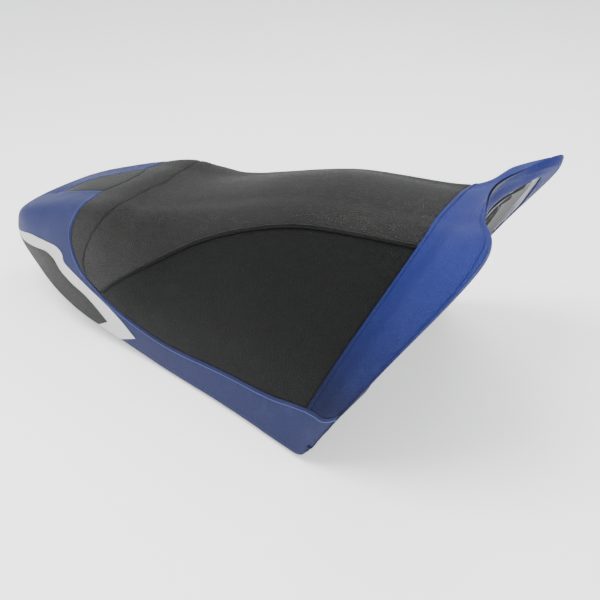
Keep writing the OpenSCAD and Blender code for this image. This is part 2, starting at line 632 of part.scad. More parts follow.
base_pan();
foam_cushion();
top_panel();
bolster_panel();
side_panel_right();
side_panel_left();
piping_right();
piping_left();
front_band();
rim_hem();
front_lining();
tail_cap();
side_band_right();
side_band_left();
tail_deck_panel();
flash_right();
flash_left();
window_right();
window_left();
cover_staples();
rubber_feet();
mount_tab_right();
mount_tab_left();
tab_rivets();
latch_bracket();
latch_rivets();
latch_pin();
latch_hook();
latch_spring();
latch_pull();
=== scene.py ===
"""Looks of the straddle seat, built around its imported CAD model. Metres, +X to the hood, +Z up."""

import math

import bpy
import numpy as np
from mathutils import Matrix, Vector, noise


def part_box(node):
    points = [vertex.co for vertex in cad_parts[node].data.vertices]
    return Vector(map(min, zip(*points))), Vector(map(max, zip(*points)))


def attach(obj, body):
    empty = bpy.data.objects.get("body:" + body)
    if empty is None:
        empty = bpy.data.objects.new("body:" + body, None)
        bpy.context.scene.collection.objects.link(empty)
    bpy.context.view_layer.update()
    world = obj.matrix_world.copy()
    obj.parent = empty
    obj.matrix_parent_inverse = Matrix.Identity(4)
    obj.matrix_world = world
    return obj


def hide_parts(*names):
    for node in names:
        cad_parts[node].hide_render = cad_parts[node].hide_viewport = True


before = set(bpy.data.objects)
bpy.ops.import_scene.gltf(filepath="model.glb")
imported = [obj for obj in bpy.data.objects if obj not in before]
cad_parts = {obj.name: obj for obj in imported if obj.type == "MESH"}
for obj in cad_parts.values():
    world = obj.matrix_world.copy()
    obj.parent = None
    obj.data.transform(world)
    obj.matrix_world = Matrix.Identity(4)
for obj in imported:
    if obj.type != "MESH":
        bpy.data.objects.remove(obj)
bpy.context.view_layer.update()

MM = 0.001

# ---- Camera, floor and light -----------------------------------------
AIM = Vector((0.118, 0, 0.082))
AZIMUTH, ELEVATION, DISTANCE = math.radians(29.5), math.radians(31), 1.215
LENS = 48.7
FLOOR_HALF = 12


def away(azimuth, elevation):
    """Direction from the seat to a viewer or a light."""
    level = math.cos(elevation)
    return Vector((math.sin(azimuth) * level, -math.cos(azimuth) * level, math.sin(elevation)))


def aimed(name, data, azimuth, elevation, distance):
    """Camera or light that looks at the seat from some way off."""
    thing = bpy.data.objects.new(name, data)
    back = away(azimuth, elevation)
    thing.location = AIM + back * distance
    thing.rotation_euler = (-back).to_track_quat("-Z", "Y").to_euler()
    bpy.context.scene.collection.objects.link(thing)
    return thing


def make_camera():
    data = bpy.data.cameras.new("camera")
    data.lens = LENS
    bpy.context.scene.camera = aimed("camera", data, AZIMUTH, ELEVATION, DISTANCE)


def area_light(name, azimuth, elevation, distance, size, power):
    """Round soft light."""
    data = bpy.data.lights.new(name, "AREA")
    data.shape = "DISK"
    data.size = size
    data.energy = power
    aimed(name, data, math.radians(azimuth), math.radians(elevation), distance)


def make_studio():
    area_light("key", -40, 62, 2.2, 1.5, 75)
    area_light("fill", 70, 40, 2.6, 2.0, 26)
    area_light("back", 175, 55, 2.4, 1.4, 30)
    world = bpy.data.worlds.new("studio")
    world.use_nodes = True
    sky = world.node_tree.nodes["Background"]
    sky.inputs["Color"].default_value = (0.95, 0.97, 1, 1)
    sky.inputs["Strength"].default_value = 1.15
    bpy.context.scene.world = world
    corners = [(x * FLOOR_HALF, y * FLOOR_HALF, 0) for x, y in ((-1, -1), (1, -1), (1, 1), (-1, 1))]
    mesh = bpy.data.meshes.new("floor")
    mesh.from_pydata(corners, [], [(0, 1, 2, 3)])
    floor = bpy.data.objects.new("floor", mesh)
    bpy.context.scene.collection.objects.link(floor)
    material = bpy.data.materials.new("floor")
    material.use_nodes = True
    shader = material.node_tree.nodes["Principled BSDF"]
    shader.inputs["Base Color"].default_value = (0.93, 0.93, 0.93, 1)
    shader.inputs["Roughness"].default_value = 0.7
    shader.inputs["Emission Color"].default_value = (1, 1, 1, 1)
    shader.inputs["Emission Strength"].default_value = 0.5
    mesh.materials.append(material)


# ---- The seat's outer surface, as in the CAD source ------------------
# Stations from tail to hood: bottom edge x, y, z; bulge; ridge x, y, z; run and rise to the centre
STATIONS = np.array([
    [-434, 0, 100, 0, -390, 0, 138, 42, 10],
    [-394, 60, 90, 7, -352, 80, 152, 40, 15],
    [-302, 105, 58, 11, -264, 100, 178, 16, 14],
    [-226, 128, 33, 14, -152, 116, 204, 0, 14],
    [-132, 142, 14, 16, -90, 118, 203, -2, 14],
    [-24, 160, 0, 17, -6, 103, 211, -6, 22],
    [104, 190, 0, 20, 166, 96, 250, -2, 32],
    [212, 220, 0, 26, 326, 98, 262, 6, 26],
    [246, 230, 4, 30, 376, 138, 287, 0, 10],
    [262, 234, 26, 28, 431, 168, 304, -44, 13]], float)
# Foam between cover and pan at each station: at the bottom edge, the wall and the top
FOAM = np.array([[11, 12, 22], [11, 15, 27], [9, 20, 42], [9, 26, 62], [9, 30, 72], [9, 30, 80], [9, 26, 78],
                 [9, 20, 50], [10, 15, 26], [11, 13, 15]], float)
FOOT_DROP = 6
LAST = len(STATIONS) - 1
ACROSS = (1, 3, 5)
MID_RUN, MID_RISE = 0.62, 0.78
TAIL_SHARE = (1, 0.4)
VINYL, SLACK, CLEAR, LINING = 1.8 * MM, 1 * MM, 1.2 * MM, 1.2 * MM
PAN_WALL, LIP_Z, TURN_UNDER = 4 * MM, 3.6 * MM, 16 * MM
# Steps of station and reach over which slopes are taken
DS, DT = 0.02, 0.01


def smooth(a, b, c, d, f):
    """Smooth interpolation between b and c."""
    return (2 * b + (c - a) * f + (2 * a - 5 * b + 4 * c - d) * f**2 + (3 * b - a - 3 * c + d) * f**3) / 2


def continued(rows):
    """A station table with one more row at each end: the tail's mirror image, and the hood drawn on."""
    before = rows[1].copy()
    before[list(ACROSS)] *= -1
    before[7:] = 2 * rows[0, 7:] - rows[1, 7:]
    return np.vstack([before, rows, 2 * rows[-1] - rows[-2]])


def cover_rows():
    rows = STATIONS.copy()
    rows[:, [2, 6]] += FOOT_DROP
    return rows * MM


def pan_rows(gap=0.0):
    """Table of the pan's outer face, or of the foam's inner face with a negative gap."""
    rows = cover_rows()
    edge, side, top = (FOAM * MM + gap).T
    for i, share in enumerate(TAIL_SHARE):
        rows[i, [0, 4]] += share * edge[i]
    rows[:, 1] = np.maximum(rows[:, 1] - edge, 0)
    rows[:, 5] = np.maximum(rows[:, 5] - side, 0)
    rows[:, 2] += LIP_Z
    rows[:, 6] -= top
    return rows


COVER = continued(cover_rows())
PAN = continued(pan_rows())
FOAM_IN = continued(pan_rows(-CLEAR))


def skin(rows, s, t):
    """Points of a table's surface at stations s and reaches t; right-hand side negative."""
    s, t = paired(s, t)
    i = np.clip(np.floor(s).astype(int), 0, LAST - 1)
    f = (s - i)[..., None]
    g = smooth(rows[i], rows[i + 1], rows[i + 2], rows[i + 3], f)
    edge, ridge, zero = g[..., 0:3], g[..., 4:7], np.zeros_like(g[..., 0])
    wall = (edge + ridge) / 2 + np.stack([zero, g[..., 3], zero], -1)
    mid = np.stack([g[..., 4] + MID_RUN * g[..., 7], g[..., 5] / 2, g[..., 6] + MID_RISE * g[..., 8]], -1)
    top = np.stack([g[..., 4] + g[..., 7], zero, g[..., 6] + g[..., 8]], -1)
    net = np.stack([2 * edge - wall, edge, wall, ridge, mid, top, mid * [1, -1, 1]])
    u = 4 * (1 - np.abs(t))
    k = np.clip(np.floor(u).astype(int), 0, 3)
    h = (u - k)[..., None]
    a, b, c, d = (np.take_along_axis(net, (k + n)[None, ..., None], 0)[0] for n in range(4))
    p = smooth(a, b, c, d, h)
    p[..., 1] *= np.where(t < 0, -1, 1)
    return p


def norm(v):
    return np.linalg.norm(v, axis=-1)


def paired(s, t):
    """Stations and reaches as arrays of one shape."""
    return np.broadcast_arrays(np.asarray(s, float), np.asarray(t, float))


def unit(v):
    return v / np.maximum(np.linalg.norm(v, axis=-1, keepdims=True), 1e-12)


def ramp(x, low, high):
    f = np.clip((x - low) / (high - low), 0, 1)
    return f * f * (3 - 2 * f)


def along_s(rows, s, t):
    hi, lo = np.minimum(s + DS, LAST), np.maximum(s - DS, 0)
    return (skin(rows, hi, t) - skin(rows, lo, t)) / (hi - lo)[..., None]


def along_t(rows, s, t):
    hi, lo = np.minimum(t + DT, 1), np.maximum(t - DT, -1)
    return (skin(rows, s, hi) - skin(rows, s, lo)) / (hi - lo)[..., None]


def outward(rows, s, t):
    q = np.maximum(s, 2 * DS)
    n = unit(np.cross(along_s(rows, q, t), along_t(rows, q, t)))
    n[..., 1] = np.where(s <= 0, 0, n[..., 1])
    return unit(n)


def below(rows, s, t, depth):
    s, t = paired(s, t)
    return skin(rows, s, t) - np.asarray(depth)[..., None] * outward(rows, s, t)


def inward(rows, s, side):
    """Level inward direction at the bottom edge."""
    s, side = paired(s, side)
    v = along_s(rows, s, side)
    w = side[..., None] * unit(np.stack([v[..., 1], -v[..., 0], np.zeros_like(v[..., 0])], -1))
    return np.where(s[..., None] > 0, w, [1.0, 0, 0])


def corner(rows, s, side, run, up):
    """Point of the bottom edge, moved in by run and up."""
    s, side = paired(s, side)
    return skin(rows, s, side) + np.asarray(run)[..., None] * inward(rows, s, side) + [0, 0, up]


# ---- Seams, as station and reach on the left side --------------------
BAND_S, HOOD_S, NECK_S = 7.05, 9.0, 3.5
ARC_SEAM = [[3.55, 0], [3.45, 0.15], [3.38, 0.27], [3.3, 0.42], [3.14, 0.55], [3.05, 0.64], [3.1, 0.72],
            [3.3, 0.79]]
REAR_SEAM = [[2.68, 0], [2.62, 0.15], [2.52, 0.23], [2.53, 0.3], [2.56, 0.37], [2.57, 0.5], [2.6, 0.62],
             [2.78, 0.7], [3.05, 0.76], [3.3, 0.79]]
DECK_SEAM = [[0.5, 0], [0.7, 0.1], [1.3, 0.165], [2, 0.2], [2.52, 0.23]]
NECK_SEAM = [[3.3, 0.79], [3.5, 0.806], [3.7, 0.82]]
RIDGE_SEAM = [[3.7, 0.82], [3.92, 0.755], [4.25, 0.69], [4.8, 0.615], [5.35, 0.54], [5.9, 0.505], [6.5, 0.5],
              [7.05, 0.5]]
LOWER_SEAM = [[3.7, 0.825], [3.95, 0.845], [4.4, 0.872], [5, 0.895], [5.6, 0.9], [6.4, 0.9], [7.05, 0.88],
              [8, 0.876], [9, 0.873]]
FLASH_TOP = [[0.75, 0.885], [1.03, 0.84], [1.52, 0.735], [1.89, 0.716], [2.28, 0.71], [2.46, 0.72],
             [2.57, 0.74], [2.7, 0.783], [3.13, 0.815], [3.7, 0.848], [4.12, 0.888], [4.48, 0.942]]
WINDOW_TOP = [[1.02, 0.965], [1.2, 0.925], [1.58, 0.845], [2.06, 0.78], [2.34, 0.788], [2.46, 0.81],
              [2.62, 0.842], [2.95, 0.867], [3.34, 0.882], [3.63, 0.91], [3.89, 0.945]]


def mirrored(knots):
    return [[s, -t] for s, t in knots]


def across(knots):
    """A left seam that starts on the centre, with its mirror image before it."""
    return mirrored(knots[::-1]) + knots[1:]


def at(knots, f):
    """Points at fractions f of a knot list, with equal shares for its spans."""
    k = np.asarray(knots, float)
    k = np.vstack([2 * k[0] - k[1], k, 2 * k[-1] - k[-2]])
    m = len(k) - 3
    f = np.asarray(f, float) * m
    i = np.clip(np.floor(f).astype(int), 0, m - 1)
    return smooth(k[i], k[i + 1], k[i + 2], k[i + 3], (f - i)[..., None])


def beside(knots, gap, steps=None):
    """A seam moved over the surface by gap, to the left of its run."""
    k = at(knots, np.linspace(0, 1, steps)) if steps else np.asarray(knots, float)
    q = np.gradient(k, axis=0)
    s, t = k.T
    a, b = along_s(COVER, s, t), along_t(COVER, s, t)
    run = unit(a * q[:, :1] + b * q[:, 1:])
    move = np.reshape(gap, (-1, 1)) * np.cross(outward(COVER, s, t), run)
    aa, ab, bb = (a * a).sum(1), (a * b).sum(1), (b * b).sum(1)
    ma, mb = (a * move).sum(1), (b * move).sum(1)
    step = np.stack([bb * ma - ab * mb, aa * mb - ab * ma], 1) / (aa * bb - ab**2)[:, None]
    return (k + step).tolist()


# ---- The cover as sewn: rounded at its bottom edge, with every seam drawn down ----
EDGE_R = 6 * MM
GAP = 0.25 * MM
# Half gaps, in stations, where panels meet end to end: at the front band and neck, and at the hem
BUTT, HEM_BUTT = 0.003, 0.004


def wrapped(rows, s, t, radius=EDGE_R):
    """Surface that turns under at the bottom edge; reaches beyond 1 run inwards, level with the lip."""
    s, t = paired(s, t)
    side, reach = np.where(t < 0, -1.0, 1.0), np.abs(t)
    length = norm(along_t(rows, s, side))
    turn = radius * (1 + np.maximum(0, 1.5 - s)) / length
    b = np.clip((reach - 1 + turn) / (2 * turn), 0, 1)[..., None]
    start, edge = skin(rows, s, side * (1 - turn)), skin(rows, s, side)
    run = np.maximum(reach - 1, turn) * length
    end = corner(rows, s, side, run, 0)
    bend = (1 - b) ** 2 * start + 2 * b * (1 - b) * edge + b**2 * end
    p = np.where((reach > 1 - turn)[..., None], bend, skin(rows, s, t))
    p[..., 1] = np.where(s <= 0, 0, p[..., 1])
    return p


def wrapped_normal(rows, s, t, radius=EDGE_R):
    s, t = paired(s, t)
    q = np.clip(s, 2 * DS, LAST)
    step = DT / 10
    down = wrapped(rows, np.minimum(q + DS, LAST), t, radius) - wrapped(rows, q - DS, t, radius)
    over = wrapped(rows, q, t + step, radius) - wrapped(rows, q, t - step, radius)
    n = unit(np.cross(down, over))
    n[..., 1] = np.where(s <= 0, 0, n[..., 1])
    return unit(n)


def on_cover(knots, steps=160):
    """Points along a seam of the cover."""
    s, t = at(knots, np.linspace(0, 1, steps)).T
    return wrapped(COVER, s, t)


def hem_s(t):
    """Station of the seam that joins the hem to the cover; the hem narrows below the shoulders."""
    t = np.asarray(t, float)
    width = (4.5 + 6 * (1 - ramp(np.abs(t), 0.48, 0.6))) * MM
    slope = norm(along_s(COVER, np.full_like(t, HOOD_S - 0.2), np.clip(t, -1, 1)))
    return HOOD_S - width / slope


def split(knots, start, end, steps=24):
    return at(knots, np.linspace(start, end, steps)).tolist()


BAND_KNOT = 6 / 8
LOWER_REAR = split(LOWER_SEAM, 0, BAND_KNOT)
LOWER_FRONT = split(LOWER_SEAM, BAND_KNOT, 1, 12)
LOWER_FRONT = [[min(s, float(hem_s(t))), t] for s, t in LOWER_FRONT]
LOWER_ALL = LOWER_REAR + LOWER_FRONT[1:]
BAND_T = LOWER_FRONT[0][1]
BAND_SEAM = [[BAND_S, t] for t in np.linspace(-BAND_T, BAND_T, 41)]
HEM_SEAM = [[float(hem_s(t)), t] for t in np.linspace(-1.08, 1.08, 61)]

# Every seam of the cover: its points, and how deep and how wide it draws the cover down
SEAMS = {
    "arc": (on_cover(across(ARC_SEAM)), 0.9 * MM, 2.0 * MM),
    "rear": (on_cover(across(REAR_SEAM)), 1.2 * MM, 2.2 * MM),
    "deck_left": (on_cover(DECK_SEAM), 1.0 * MM, 1.8 * MM),
    "deck_right": (on_cover(mirrored(DECK_SEAM)), 1.0 * MM, 1.8 * MM),
    "neck_left": (on_cover(NECK_SEAM, 20), 1.0 * MM, 1.8 * MM),
    "neck_right": (on_cover(mirrored(NECK_SEAM), 20), 1.0 * MM, 1.8 * MM),
    "ridge_left": (on_cover(RIDGE_SEAM), 1.4 * MM, 3.2 * MM),
    "ridge_right": (on_cover(mirrored(RIDGE_SEAM)), 1.4 * MM, 3.2 * MM),
    "lower_left": (on_cover(LOWER_ALL), 1.4 * MM, 2.0 * MM),
    "lower_right": (on_cover(mirrored(LOWER_ALL)), 1.4 * MM, 2.0 * MM),
    "band": (on_cover(BAND_SEAM), 1.3 * MM, 2.0 * MM),
    "hem": (on_cover(HEM_SEAM), 1.2 * MM, 2.2 * MM)}


def distance(points, line):
    """Distance from each point to a line of points."""
    best = np.full(len(points), np.inf)
    for a, b in zip(line[:-1], line[1:]):
        ab = b - a
        f = np.clip((points - a) @ ab / max(ab @ ab, 1e-12), 0, 1)
        best = np.minimum(best, ((points - a - f[:, None] * ab) ** 2).sum(1))
    return np.sqrt(best)


def ripple(points, scale, seed=0.0):
    """Smooth noise between about -1 and 1 at each point."""
    return np.array([noise.noise(Vector((x * scale + seed, y * scale, z * scale))) for x, y, z in points])


PUFF, PUFF_REACH = 0.9 * MM, 14 * MM
PUCKER, PUCKER_REACH = 0.35 * MM, 7 * MM


def relief(points, seams):
    """Height of the sewn cover over its smooth surface."""
    near = np.full(len(points), 1.0)
    height = 0.45 * MM * ripple(points, 16) + 0.2 * MM * ripple(points, 45, 7)
    for name in seams:
        line, depth, width = SEAMS[name]
        d = distance(points, line)
        height -= depth * np.exp(-(d / width) ** 2)
        near = np.minimum(near, d)
    height += PUFF * (1 - np.exp(-near / PUFF_REACH)) - 0.4 * PUFF
    return height + PUCKER * ripple(points, 110, 3) * np.exp(-(near / PUCKER_REACH) ** 2)


LIP_W, LIP_H, GROOVE = 6.5 * MM, 0.7 * MM, 0.8 * MM


def lip(points, seam):
    """Raised allowance along a topstitched seam, ending in the groove of its stitches."""
    d = distance(points, SEAMS[seam][0])
    return LIP_H / (1 + np.exp((d - LIP_W) / (0.5 * MM))) - GROOVE * np.exp(-((d - LIP_W) / (1.1 * MM)) ** 2)


# ---- Meshes ----------------------------------------------------------
def add_mesh(name, points, faces, material, body="seat", stands_for=(), sharp=50):
    """New piece from points and faces, with its faces turned outwards."""
    points = np.asarray(points, float)
    corners = [(f[0], f[i], f[i + 1]) for f in faces for i in range(1, len(f) - 1)]
    a, b, c = (points[list(k)] for k in zip(*corners))
    if (a * np.cross(b, c)).sum() < 0:
        faces = [tuple(reversed(f)) for f in faces]
    mesh = bpy.data.meshes.new(name)
    mesh.from_pydata(points.tolist(), [], faces)
    mesh.shade_smooth()
    mesh.set_sharp_from_angle(angle=math.radians(sharp))
    mesh.materials.append(material)
    piece = bpy.data.objects.new(name, mesh)
    bpy.context.scene.collection.objects.link(piece)
    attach(piece, body)
    if stands_for:
        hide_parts(*stands_for)
    return piece


def slab_faces(rows, cols, fold=False):
    """Faces of a closed solid between two grids; fold joins the halves of the first row."""
    count = rows * cols
    index = np.arange(count).reshape(rows, cols)
    if fold:
        index[0] = np.minimum(np.arange(cols), cols - 1 - np.arange(cols))
    a, b, c, d = index[:-1, :-1], index[:-1, 1:], index[1:, 1:], index[1:, :-1]
    top = np.stack([a, b, c, d], -1).reshape(-1, 4)
    faces = [tuple(f) for f in top.tolist()] + [tuple(f) for f in (top[:, ::-1] + count).tolist()]
    rim = [index[:, 0], index[-1], index[::-1, -1]] + ([] if fold else [index[0, ::-1]])
    for line in rim:
        line = line.tolist()
        faces += [(p, q, q + count, p + count) for p, q in zip(line[:-1], line[1:])]
    tidy = []
    for face in faces:
        kept = [v for i, v in enumerate(face) if v != face[i - 1]]
        if len(kept) > 2:
            tidy.append(tuple(kept))
    return tidy


def slab(name, outer, inner, material, fold=False, stands_for=()):
    """Closed piece between two grids of points."""
    rows, cols = outer.shape[:2]
    points = np.vstack([outer.reshape(-1, 3), inner.reshape(-1, 3)])
    faces = slab_faces(rows, cols, fold)
    used = np.unique(np.concatenate([np.array(f) for f in faces]))
    place = np.zeros(len(points), int)
    place[used] = np.arange(len(used))
    faces = [tuple(place[list(f)].tolist()) for f in faces]
    return add_mesh(name, points[used], faces, material, stands_for=stands_for)


# Distances from a panel's edge at which its grid has lines
EDGE_LINES = np.array([0, 0.5, 1.1, 1.8, 2.6, 3.6, 4.8, 5.6, 6.4, 7.2, 8.2, 10, 13]) * MM


def graded(width, spacing=5 * MM):
    """Fractions across a panel of some width, closer together along its edges."""
    near = EDGE_LINES[EDGE_LINES < 0.4 * width]
    inside = width - near[-1] - near[-1]
    count = max(int(round(inside / spacing)), 2)
    middle = near[-1] + inside * np.arange(1, count) / count
    return np.concatenate([near, middle, width - near[::-1]]) / width


def coons(rear, front, right, left, u, v):
    """Knots of a panel between four seams, at fractions u across and v along."""
    ends = np.asarray(rear, float), np.asarray(front, float)
    a, b = at(rear, u)[None], at(front, u)[None]
    c, d = at(right, v)[:, None], at(left, v)[:, None]
    u, v = u[None, :, None], v[:, None, None]
    return (a * (1 - v) + b * v + (c - ends[0][0] * (1 - v) - ends[1][0] * v) * (1 - u)
            + (d - ends[0][-1] * (1 - v) - ends[1][-1] * v) * u)


def sewn(name, knots, seams, material, extra=None, lift=0.0, thickness=VINYL, stands_for=None):
    """Sewn panel on a grid of knots, following the cover's relief."""
    s, t = np.maximum(knots[..., 0], 0), knots[..., 1]
    base, normal = wrapped(COVER, s, t), wrapped_normal(COVER, s, t)
    flat = base.reshape(-1, 3)
    height = relief(flat, seams) + (extra(flat) if extra else 0)
    height = height.reshape(s.shape)[..., None]
    under = height + lift - thickness if lift else np.full_like(height, -thickness)
    return slab(name, base + (height + lift) * normal, base + under * normal, material,
                stands_for=stands_for or (name.replace("_sewn", ""),))


def joined_halves(left):
    """A whole grid from its left half, whose first column lies on the centre."""
    right = left[:, :0:-1] * [1, -1]
    return np.concatenate([right, left], 1)


def ring_faces(rows, sides):
    """Faces of a closed solid over rings of points: its wall, then its two ends."""
    faces = []
    for k in range(rows - 1):
        for a in range(sides):
            b = (a + 1) % sides
            faces.append((k * sides + a, k * sides + b, (k + 1) * sides + b, (k + 1) * sides + a))
    faces.append(tuple(range(sides - 1, -1, -1)))
    faces.append(tuple((rows - 1) * sides + a for a in range(sides)))
    return faces


def tube(path, radius, sides=12):
    """Points and faces of a round bar along a path."""
    path = np.asarray(path, float)
    runs = unit(np.gradient(path, axis=0))
    start = [0, 0, 1] if abs(runs[0][2]) < 0.9 else [0, 1, 0]
    up = np.zeros_like(path)
    up[0] = unit(np.cross(np.cross(runs[0], start), runs[0]))
    for i in range(1, len(path)):
        up[i] = unit(up[i - 1] - (up[i - 1] @ runs[i]) * runs[i])
    over = unit(np.cross(runs, up))
    angle = np.linspace(0, 2 * math.pi, sides, endpoint=False)[None, :, None]
    ring = np.cos(angle) * over[:, None] + np.sin(angle) * up[:, None]
    return (path[:, None] + radius * ring).reshape(-1, 3), ring_faces(len(path), sides)


# ---- Materials -------------------------------------------------------
class Tree:
    """Node tree of a new material, built node by node around its shader."""

    def __init__(self, name, **fixed):
        self.material = bpy.data.materials.new(name)
        self.material.use_nodes = True
        self.tree = self.material.node_tree
        self.shader = self.tree.nodes["Principled BSDF"]
        for key, value in fixed.items():
            self.shader.inputs[key.replace("_", " ")].default_value = value
        self.place = self.add("ShaderNodeTexCoord").outputs["Object"]

    def add(self, kind, inputs=None, **settings):
        node = self.tree.nodes.new(kind)
        for key, value in settings.items():
            setattr(node, key, value)
        for key, value in (inputs or {}).items():
            if isinstance(value, bpy.types.NodeSocket):
                self.tree.links.new(value, node.inputs[key])
            else:
                node.inputs[key].default_value = value
        return node

    def noise(self, scale, detail=3.0, vector=None, rough=0.5):
        return self.add("ShaderNodeTexNoise", {"Vector": vector or self.place, "Scale": scale,
                                               "Detail": detail, "Roughness": rough}).outputs["Fac"]

    def cells(self, scale, feature="F1", vector=None):
        return self.add("ShaderNodeTexVoronoi", {"Vector": vector or self.place, "Scale": scale},
                        feature=feature).outputs["Distance"]

    def math(self, operation, a, b=0.0, clamp=False):
        return self.add("ShaderNodeMath", {0: a, 1: b}, operation=operation, use_clamp=clamp).outputs[0]

    def fit(self, value, low, high, new_low, new_high):
        """Value's range from low to high, drawn on another range."""
        return self.add("ShaderNodeMapRange", {"Value": value, "From Min": low, "From Max": high,
                                               "To Min": new_low, "To Max": new_high}).outputs["Result"]

    def mix(self, factor, a, b):
        node = self.add("ShaderNodeMix", data_type="RGBA")
        for socket, value in ((node.inputs[0], factor), (node.inputs[6], a), (node.inputs[7], b)):
            if isinstance(value, bpy.types.NodeSocket):
                self.tree.links.new(value, socket)
            else:
                socket.default_value = (*value, 1) if isinstance(value, tuple) else value
        return node.outputs[2]

    def warped(self, scale, amount):
        """Place shifted a little by noise, so that patterns lose their regularity."""
        shift = self.add("ShaderNodeTexNoise", {"Vector": self.place, "Scale": scale}).outputs["Color"]
        move = self.add("ShaderNodeVectorMath", {0: shift, 3: amount}, operation="SCALE").outputs[0]
        return self.add("ShaderNodeVectorMath", {0: self.place, 1: move}, operation="ADD").outputs[0]

    def axis(self, name):
        return self.add("ShaderNodeSeparateXYZ", {0: self.place}).outputs[name]

    def finish(self, colour, rough, height, depth, strength=1.0):
        """Join colour, roughness and a height in metres to the shader."""
        bump = self.add("ShaderNodeBump", {"Height": height, "Distance": depth, "Strength": strength})
        for key, value in (("Base Color", colour), ("Roughness", rough), ("Normal", bump.outputs[0])):
            self.tree.links.new(value, self.shader.inputs[key])
        return self.material


def vinyl(name, deep, pale, grain, depth, rough, gloss=0.5, painted_light_ramp=None, worn=None):
    """Grained vinyl. Grain is the size of its pebbles; the ramp of painted light is (axis, low, high, colour
    at low): painted shade or a painted reflection laid along one axis.
    """
    tree = Tree(name, Specular_IOR_Level=gloss)
    place = tree.warped(180, grain * 0.8)
    pebbles = tree.fit(tree.cells(1 / grain, "DISTANCE_TO_EDGE", place), 0, 0.22, 0, 1)
    pores = tree.noise(2.6 / grain, 2)
    patches = tree.fit(tree.noise(7, 4, rough=0.6), 0.35, 0.68, 0, 1)
    colour = tree.mix(patches, deep, pale)
    # Painted light: the colour ramps along one axis to a painted shade or a painted reflection.
    if painted_light_ramp:
        axis, low, high, painted_light_colour = painted_light_ramp
        colour = tree.mix(tree.fit(tree.axis(axis), low, high, 1, 0), colour, painted_light_colour)
    if worn:
        rub = tree.fit(tree.noise(24, 5, rough=0.7), 0.56, 0.74, 0, 0.5)
        colour = tree.mix(rub, colour, worn)
    # Painted shade: the valleys between the pebbles are darkened towards a shaded copy of the deep colour.
    colour = tree.mix(tree.fit(pebbles, 0, 1, 0.45, 0), colour, tuple(0.35 * c for c in deep))
    shine = tree.math("ADD", tree.fit(patches, 0, 1, rough - 0.05, rough + 0.05),
                      tree.fit(pores, 0.3, 0.7, -0.06, 0.06))
    height = tree.math("ADD", pebbles, tree.math("MULTIPLY", pores, 0.5))
    return tree.finish(colour, shine, height, depth)


def plastic(name, colour, pale, texture, depth, rough):
    """Moulded plastic or rubber with a fine spark texture and some scuffs."""
    tree = Tree(name)
    patches = tree.fit(tree.noise(11, 5), 0.4, 0.65, 0, 1)
    scuffs = tree.fit(tree.noise(60, 6, rough=0.75), 0.6, 0.72, 0, 0.6)
    mixed = tree.mix(scuffs, tree.mix(patches, colour, pale), tuple(2.2 * c for c in pale))
    spark = tree.noise(texture, 3, rough=0.65)
    return tree.finish(mixed, tree.fit(spark, 0.3, 0.7, rough - 0.08, rough + 0.1), spark, depth)


def steel(name, colour, rough, grime):
    """Plated steel, brushed one way and dulled in patches."""
    tree = Tree(name, Metallic=1.0)
    stretch = tree.add("ShaderNodeMapping", {"Vector": tree.place, "Scale": (40, 900, 900)}).outputs[0]
    brushed = tree.noise(1, 3, vector=stretch)
    spangle = tree.cells(220)
    dull = tree.fit(tree.noise(45, 5, rough=0.7), 0.5, 0.7, 0, 0.8)
    mixed = tree.mix(dull, tree.mix(tree.fit(spangle, 0, 1, 0, 0.6), colour, tuple(0.75 * c for c in colour)),
                     grime)
    shine = tree.math("ADD", tree.fit(brushed, 0.3, 0.7, rough - 0.08, rough + 0.08),
                      tree.math("MULTIPLY", dull, 0.2))
    return tree.finish(mixed, shine, brushed, 0.08 * MM, 0.6)


def cloth(name, deep, pale, thread, rough, **fixed):
    """Plain weave of crossed threads."""
    tree = Tree(name, **fixed)
    weave = []
    for turn in (0.6, 2.2):
        grid = tree.add("ShaderNodeMapping", {"Vector": tree.warped(60, 1 * MM), "Rotation": (0, 0, turn)})
        weave.append(tree.add("ShaderNodeTexWave", {"Vector": grid.outputs[0], "Scale": 0.16 / thread,
                                                    "Distortion": 0.6, "Detail": 1.0}).outputs["Fac"])
    crossed = tree.math("MAXIMUM", *weave)
    stains = tree.fit(tree.noise(14, 5, rough=0.65), 0.38, 0.66, 0, 1)
    # Painted shade: the gaps between the crossed threads are darkened towards a shaded copy of the deep
    # colour.
    colour = tree.mix(tree.fit(crossed, 0, 1, 0.35, 0), tree.mix(stains, deep, pale),
                      tuple(0.4 * c for c in deep))
    return tree.finish(colour, tree.fit(stains, 0, 1, rough + 0.08, rough - 0.05), crossed, 0.12 * MM, 0.7)


def foam_rubber(name, deep, pale, cell, rough):
    tree = Tree(name)
    pores = tree.cells(1 / cell)
    fine = tree.noise(1.5 / cell, 4)
    # Painted shade: the foam is paler on its raised cells and darker in the hollows between them.
    colour = tree.mix(tree.fit(pores, 0, 0.7, 0, 1), pale, deep)
    return tree.finish(colour, tree.fit(fine, 0.3, 0.7, rough - 0.05, rough + 0.05),
                       tree.math("SUBTRACT", fine, pores), 0.3 * MM)


def thread(name, colour, rough):
    """Twisted sewing thread."""
    tree = Tree(name)
    twist = tree.noise(2600, 2)
    # Painted shade: the low parts of the twist are darkened towards a shaded copy of the thread colour.
    mixed = tree.mix(twist, tuple(0.6 * c for c in colour), colour)
    return tree.finish(mixed, tree.fit(twist, 0.3, 0.7, rough - 0.1, rough + 0.1), twist, 0.15 * MM)


# ---- Sewn panels -----------------------------------------------------
def ended(knots, first, final):
    return [first] + list(knots)[1:-1] + [final]


def right_and_left(make):
    """The same piece on both sides of the seat."""
    make("left", 1)
    make("right", -1)


def flip(knots, side):
    """A left-hand grid of knots, or its mirror image for the right-hand side."""
    return knots if side > 0 else knots[:, ::-1] * [1, -1]


